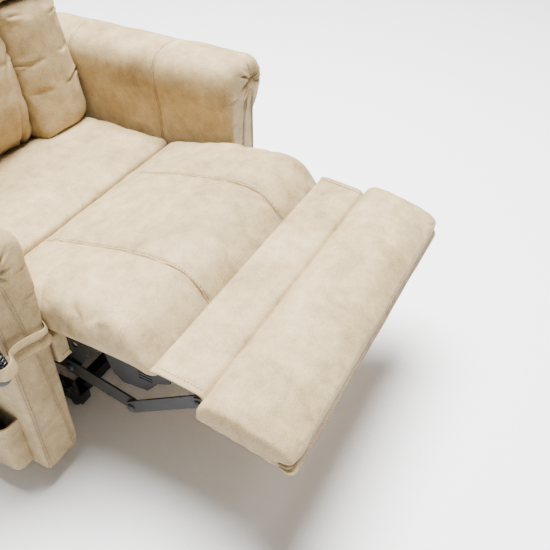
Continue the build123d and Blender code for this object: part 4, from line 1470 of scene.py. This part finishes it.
def make_bolsters():
    for name, side in SIDES:
        across = sorted((side * 0.150, side * PILLOW_OUT))
        depths = (PILLOW_FRONT - 0.006, PILLOW_REAR)
        spans = (across, depths, (LOWER_SPAN[0] - 0.0075, LOWER_SPAN[1] + 0.004))
        creases = [
            ((side * 0.332, 0.232), (side * 0.258, 0.216), 0.0060, 0.0030),
            ((side * 0.150, 0.300), (side * 0.190, 0.290), 0.0050, 0.0032),
            ((side * 0.328, 0.392), (side * 0.262, 0.384), 0.0050, 0.0030),
            ((side * 0.160, 0.410), (side * 0.205, 0.404), 0.0040, 0.0032),
        ]
        bend = bolster_bend(side)
        make_pillow(
            f"back_bolster_cover_{name}", spans, 0.022, f"back_bolster_{name}", bend, 80 + side, creases
        )


def make_centre_pad():
    low, high = LOWER_SPAN
    spans = ((-0.156, 0.156), (PILLOW_FRONT + 0.002, PILLOW_REAR), (low - 0.004, high + 0.004))
    creases = []
    for side in (-1, 1):
        creases += [
            ((side * 0.122, 0.100), (side * 0.106, 0.225), 0.0100, 0.0050),
            ((side * 0.148, 0.350), (side * 0.098, 0.290), 0.0075, 0.0048),
        ]
    creases.append(((0.030, 0.105), (0.022, 0.165), 0.0045, 0.0060))
    make_pillow("back_centre_cover", spans, 0.030, "back_centre_pad", centre_bend, 84, creases)


def make_top_pillows():
    for label, node, span, seed in (
        ("shoulder", "shoulder_pillow", SHOULDER_SPAN, 90),
        ("head", "head_pillow", HEAD_SPAN, 94),
    ):
        middle = (span[0] + span[1]) / 2
        spans = ((-PILLOW_OUT, PILLOW_OUT), (PILLOW_FRONT - 0.012, PILLOW_REAR), span)
        creases = []
        for side in (-1, 1):
            creases += [
                ((side * 0.150, span[0]), (side * 0.146, middle + 0.02), 0.0100, 0.0045),
                ((side * 0.328, middle), (side * 0.262, middle - 0.012), 0.0085, 0.0048),
                ((side * 0.250, span[0]), (side * 0.240, span[0] + 0.045), 0.0060, 0.0048),
            ]
        make_pillow(f"{label}_pillow_cover", spans, 0.044, node, None, seed, creases)


def back_case():
    """The back's padded case and the skirt under it, as points and faces."""
    half = (BACK_HALF - 0.001, (BACK_REAR + 0.026) / 2, (BACK_TOP - 0.046) / 2)
    local, faces, unit = rounded_box(half, 0.012, 0.014)
    puff = 0.003 * np.clip(1 - unit[:, 2] ** 4, 0, 1) * np.clip(1 - unit[:, 0] ** 4, 0, 1)
    local = local + (0, (BACK_REAR - 0.026) / 2, (BACK_TOP + 0.046) / 2)
    local[:, 1] += np.where(unit[:, 1] > 0.9, puff - 0.003, 0)
    skirt, skirt_faces, unit = rounded_box((BACK_HALF - 0.004, 0.0052, 0.058), 0.005, 0.009)
    skirt = skirt + (0, BACK_REAR - 0.0065, -0.002)
    skirt[:, 1] += 0.0012 * np.sin(skirt[:, 0] * 31) * np.clip(-unit[:, 2], 0, 1)
    return merge([(back_place(local), faces), (back_place(skirt), skirt_faces)])


def make_back_cover():
    """The outside of the back: a padded case with a rear skirt that hangs over the seat frame."""
    piece = add_mesh("back_rear_cover", *back_case())
    subdivide(piece)
    points, out = get_points(piece), get_normals(piece)
    local = back_local(points)
    face = np.clip(local[:, 1] / 0.02 - 3.6, 0, 1) * (local[:, 2] > 0.05)
    push = 0.0012 * ripple(points, 0.18, 101) + 0.0007 * ripple(points, 0.06, 102)
    for line in (local[:, 2] - YOKE_SEAM, np.abs(local[:, 0]) - SIDE_SEAM):
        push -= 0.0022 * face * bell(line, 0.0032) - 0.0009 * face * bell(line - 0.006, 0.003)
    set_points(piece, points + out * push[:, None])
    return finish_padded(piece, 0.9, "back_outer_cover", body="backrest")


def make_back_welt():
    """The welt up both sides and over the top of the back's rear face."""
    edge, top, foot, step = 0.312, 0.776, 0.050, 0.022
    depth = BACK_REAR - 0.0022
    rim = [(-edge, depth, height) for height in np.arange(foot, top - step, step)]
    rim += [(x, depth, top) for x in np.arange(-edge + step, edge - step, step)]
    rim += [(edge, depth, height) for height in np.arange(top - step, foot, -step)]
    welt = add_mesh("back_welt", *tube_mesh(back_place(smooth_line(rim, 0.006)), 0.0030))
    finish_piece(welt, SUEDE, body="backrest")


def sew_back(cover):
    tree = surface_of(cover)
    inward = (0, -math.cos(BACK_LEAN), math.sin(BACK_LEAN))
    reach, behind = SIDE_SEAM - 0.007, BACK_REAR + 0.01
    lines = [[(x, behind, YOKE_SEAM - 0.006) for x in np.linspace(-reach, reach, 90)]]
    lines += [[(x, behind, height) for height in np.linspace(0.07, 0.77, 110)] for x in (-reach, reach)]
    rows = [(tree, back_place(np.array(line)), inward) for line in lines]
    seam_thread("back_stitching", rows, "backrest")


make_bolsters()
make_centre_pad()
make_top_pillows()
back_cover = make_back_cover()
make_back_welt()
sew_back(back_cover)


# ---- apron and rear valance ---------------------------------------------------------------
def make_panel(name, node, hem_low, seed, half_width=None, foot=None):
    """A hanging fabric panel with a turned and sewn lower hem."""
    low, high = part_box(node)
    if half_width:
        low.x, high.x = -half_width, half_width
    if foot:
        low.z = foot
    size, middle = high - low, (high + low) / 2
    half = (size.x / 2 - 0.001, size.y / 2 - 0.0005, size.z / 2 - 0.001)
    local, faces, unit = rounded_box(half, min(0.0055, half[1] * 0.95), 0.009)
    points = local + np.array(middle)
    points[:, 1] += 0.0014 * ripple(points, 0.10, seed, (1, 0, 0.6)) * np.clip(0.5 - unit[:, 2], 0, 1)
    piece = add_mesh(name, points, faces)
    subdivide(piece)
    press_seam(piece, get_points(piece)[:, 2] - low.z - hem_low, 0.003, 0.0012, 0.0006)
    finish_padded(piece, 0.9, node, body="chair")
    aim = (0, 1, 0) if middle.y < 0 else (0, -1, 0)
    face = low.y - 0.02 if middle.y < 0 else high.y + 0.02
    line = [(x, face, low.z + hem_low + 0.004) for x in np.linspace(low.x + 0.01, high.x - 0.01, 110)]
    seam_thread(f"{name}_stitching", [(surface_of(piece), line, aim)], "chair")
    return piece


make_panel("front_apron_cover", "front_apron", 0.016, 111, half_width=0.335, foot=0.288)
make_panel("rear_valance_cover", "rear_valance", 0.014, 115)


# ---- handset pocket -----------------------------------------------------------------------
POCKET_LOW, POCKET_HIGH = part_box("handset_pocket")
POCKET_FACE = POCKET_HIGH.x + 0.0005  # where it meets the arm
POCKET_OUTER = POCKET_LOW.x + 0.002
POCKET_FRONT = POCKET_LOW.y + 0.002
POCKET_REAR = POCKET_HIGH.y - 0.002


def pocket_brim():
    """The line round the pocket's mouth, across and along, from the arm and back to it."""
    front, rear, outer = POCKET_FRONT, POCKET_REAR, POCKET_OUTER
    plan = [(POCKET_FACE, front), (outer + 0.010, front), (outer, front + 0.014), (outer, rear - 0.014)]
    plan += [(outer + 0.010, rear), (POCKET_FACE, rear)]
    return smooth_line([(x, y, 0) for x, y in plan], 0.0045)[:, :2]


def pocket_shell(line):
    """The pocket's open skin, which draws in towards its foot, as points and faces."""
    levels = np.linspace(POCKET_LOW.z + 0.001, POCKET_HIGH.z, 34)
    middle = (POCKET_FRONT + POCKET_REAR) / 2
    verts = []
    for z in levels:
        foot = math.sqrt(max(0.0, 1 - (1 - min(1, (z - levels[0]) / 0.020)) ** 2))
        for x, y in line:
            out = (POCKET_FACE - x) * (0.45 + 0.55 * foot)
            fold = 0.0012 * out / (POCKET_FACE - POCKET_OUTER) * math.sin(y * 90 + z * 35)
            place = middle + (y - middle) * (0.88 + 0.12 * foot)
            verts.append((POCKET_FACE - out - fold, place, z))
    width = len(line)
    faces = grid_faces(len(levels), width, flip=True)
    start = len(verts)
    for _, y, z in verts[:width]:
        verts.append((POCKET_FACE, y, z))
    for i in range(width - 1):
        faces.append((i + 1, i, start + i, start + i + 1))
    return verts, faces


def make_pocket():
    line = pocket_brim()
    piece = add_mesh("handset_pocket_cloth", *pocket_shell(line))
    thicken(piece, 0.003, 0)
    subdivide(piece)
    press_seam(piece, get_points(piece)[:, 2] - (POCKET_HIGH.z - 0.022), 0.0025, 0.0010, 0.0006)
    finish_piece(piece, SUEDE, body="chair")
    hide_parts("handset_pocket")
    brim = [(x, y, POCKET_HIGH.z) for x, y in line]
    welt = add_mesh("handset_pocket_welt", *tube_mesh(brim, 0.0026))
    finish_piece(welt, SUEDE, body="chair")
    return piece


def sew_pocket(cloth):
    tree = surface_of(cloth)
    rows = []
    for z in (POCKET_HIGH.z - 0.018, POCKET_LOW.z + 0.008):
        places = np.linspace(POCKET_FRONT + 0.012, POCKET_REAR - 0.012, 40)
        rows.append((tree, [(POCKET_OUTER - 0.02, y, z) for y in places], (1, 0, 0)))
    seam_thread("handset_pocket_stitching", rows, "chair")


sew_pocket(make_pocket())


# ---- cord strap ---------------------------------------------------------------------------
STRAP_WIDE = [
    (-0.3365, -0.086, 0.404),
    (-0.3385, -0.112, 0.396),
    (-0.3430, -0.1320, 0.386),
    (-0.3620, -0.1362, 0.384),
    (-0.3900, -0.1366, 0.396),
    (-0.4200, -0.1372, 0.405),
    (-0.4420, -0.1390, 0.410),
    (-0.4560, -0.1335, 0.414),
    (-0.4740, -0.1330, 0.418),
    (-0.4830, -0.1440, 0.421),
    (-0.4800, -0.1630, 0.424),
    (-0.4650, -0.1705, 0.427),
    (-0.4500, -0.1640, 0.429),
    (-0.4420, -0.1480, 0.430),
]
STRAP_NARROW = [
    (-0.3365, -0.086, 0.412),
    (-0.3390, -0.115, 0.408),
    (-0.3450, -0.1335, 0.402),
    (-0.3700, -0.1370, 0.412),
    (-0.3980, -0.1378, 0.424),
    (-0.4250, -0.1400, 0.431),
    (-0.4420, -0.1460, 0.433),
]


def make_strap():
    """Two bands of one strap, which leaves the arm's inner side and loops round the cord."""
    lower = loft_piece("cord_strap", ribbon(smooth_line(STRAP_WIDE), 0.024, 0.0034, (0, 0.42, 1)))
    finish_piece(lower, SUEDE, body="chair")
    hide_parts("strap_loop")
    upper = loft_piece("cord_strap_upper", ribbon(smooth_line(STRAP_NARROW), 0.012, 0.0030, (0, 0.35, 1)))
    finish_piece(upper, SUEDE, body="chair")
    rows = []
    tree = surface_of(lower)
    line = smooth_line(STRAP_WIDE[2:8])
    for rise in (-0.0085, 0.0085):
        rows.append((tree, [p + np.array((0, -0.01, rise)) for p in line], (0, 1, 0)))
    seam_thread("cord_strap_stitching", rows, "chair")


make_strap()


# ---- small hardware -----------------------------------------------------------------------
DOME_SIDES = 20
DOME_RINGS = 5


def dome(centre, axis, radius, height):
    """A low rivet head on the plane through centre, as points and faces."""
    way = np.array(axis, float)
    first = np.array(Vector(axis).orthogonal().normalized())
    second = np.cross(way, first)
    turns = [first * math.cos(t) + second * math.sin(t) for t in circle(DOME_SIDES)]
    steps = [(radius, -0.001)]
    for k in range(DOME_RINGS + 1):
        angle = k / DOME_RINGS * math.pi / 2
        steps.append((max(radius * math.cos(angle), 0.0002), height * math.sin(angle)))
    verts = [np.array(centre) + turn * wide + way * up for wide, up in steps for turn in turns]
    return np.array(verts), ring_faces(len(steps), DOME_SIDES)


def add_rivets(name, body, spots, radius=0.0095, height=0.004):
    """Rivet heads on both sides of the chair; spots are (x, y, z, outward sense)."""
    parts = []
    for x, y, z, sense in spots:
        for side in (-1, 1):
            parts.append(dome((side * x, y, z), (side * sense, 0, 0), radius, height))
    piece = add_mesh(name, *merge(parts))
    finish_piece(piece, STEEL, body)


def face_x(node):
    """The outer face of a node on the left side, across the chair."""
    return float(get_points(frame["nodes"][node])[:, 0].max())


# the footrest's pivots, along and up
LEG_HINGE = (-0.217, 0.356)
LINK_ROOT = (-0.120, 0.259)
ELBOW = (-0.271, 0.227)
LINK_TIP = (-0.441, 0.345)
add_rivets("leg_hinge_rivets", "legrest", [(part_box("legrest_brackets")[1].x - 0.004, *LEG_HINGE, -1)])
add_rivets("link_root_rivets", "link_rear", [(face_x("leg_links_rear"), *LINK_ROOT, 1)])
add_rivets("link_elbow_rivets", "link_front", [(face_x("leg_links_front"), *ELBOW, 1)])
add_rivets("link_tip_rivets", "end_rest", [(face_x("end_brackets"), *LINK_TIP, 1)])
add_rivets("back_hinge_rivets", "backrest", [(face_x("back_brackets"), *BACK_HINGE, 1)])
PLATE_FACE = 0.303  # from the middle to the outer faces of the linkage's side plates
BOLT_LEVEL = 0.312
BOLTS = [(PLATE_FACE, y, BOLT_LEVEL, 1) for y in (0.02, 0.13, 0.24, 0.35)]
add_rivets("frame_bolts", "chair", BOLTS, 0.0075, 0.0045)


def make_button_arrows():
    """Plain raised arrows on the two buttons, pointing up and down."""
    for node, sense in (("button_up", 1), ("button_down", -1)):
        low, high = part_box(node)
        y, z, x = (low.y + high.y) / 2, (low.z + high.z) / 2, low.x
        tip, base = z + sense * 0.0034, z - sense * 0.0022
        outline = [(y, tip), (y + 0.0034, base), (y, base + sense * 0.0012), (y - 0.0034, base)]
        rows = [np.array([(x + d, a, b) for a, b in outline]) for d in (0.0004, -0.0004)]
        arrow = loft_piece(f"{node}_arrow", rows)
        finish_piece(arrow, BLACK, node)


make_button_arrows()


# ---- floor and light ----------------------------------------------------------------------
FLOOR_REACH = 30.0
FLOOR_CUTS = 6
KEY_PLACE = (0.6, 0.3, 4.6)
KEY_TARGET = (0, -0.1, 0.35)
KEY_SIZE = 3.0
KEY_POWER = 1200
SKY = 0.42  # the strength of the even light from all round


def make_floor():
    grid = np.linspace(-FLOOR_REACH, FLOOR_REACH, FLOOR_CUTS + 1)
    verts = [(x, y, -0.0005) for y in grid for x in grid]
    floor = add_mesh("studio_floor", verts, grid_faces(len(grid), len(grid), flip=True))
    floor.data.materials.append(floor_paper())


def add_light(name, place, target, size, power):
    data = bpy.data.lights.new(name, "AREA")
    data.shape = "DISK"
    data.size = size
    data.energy = power
    light = bpy.data.objects.new(name, data)
    light.location = place
    aim = Vector(target) - Vector(place)
    light.rotation_mode = "QUATERNION"
    light.rotation_quaternion = aim.to_track_quat("-Z", "Y")
    bpy.context.collection.objects.link(light)


def make_lights():
    world = bpy.data.worlds.new("studio")
    world.use_nodes = True
    sky = world.node_tree.nodes["Background"]
    sky.inputs["Color"].default_value = (1, 1, 1, 1)
    sky.inputs["Strength"].default_value = SKY
    bpy.context.scene.world = world
    add_light("key", KEY_PLACE, KEY_TARGET, KEY_SIZE, KEY_POWER)


make_floor()
make_lights()
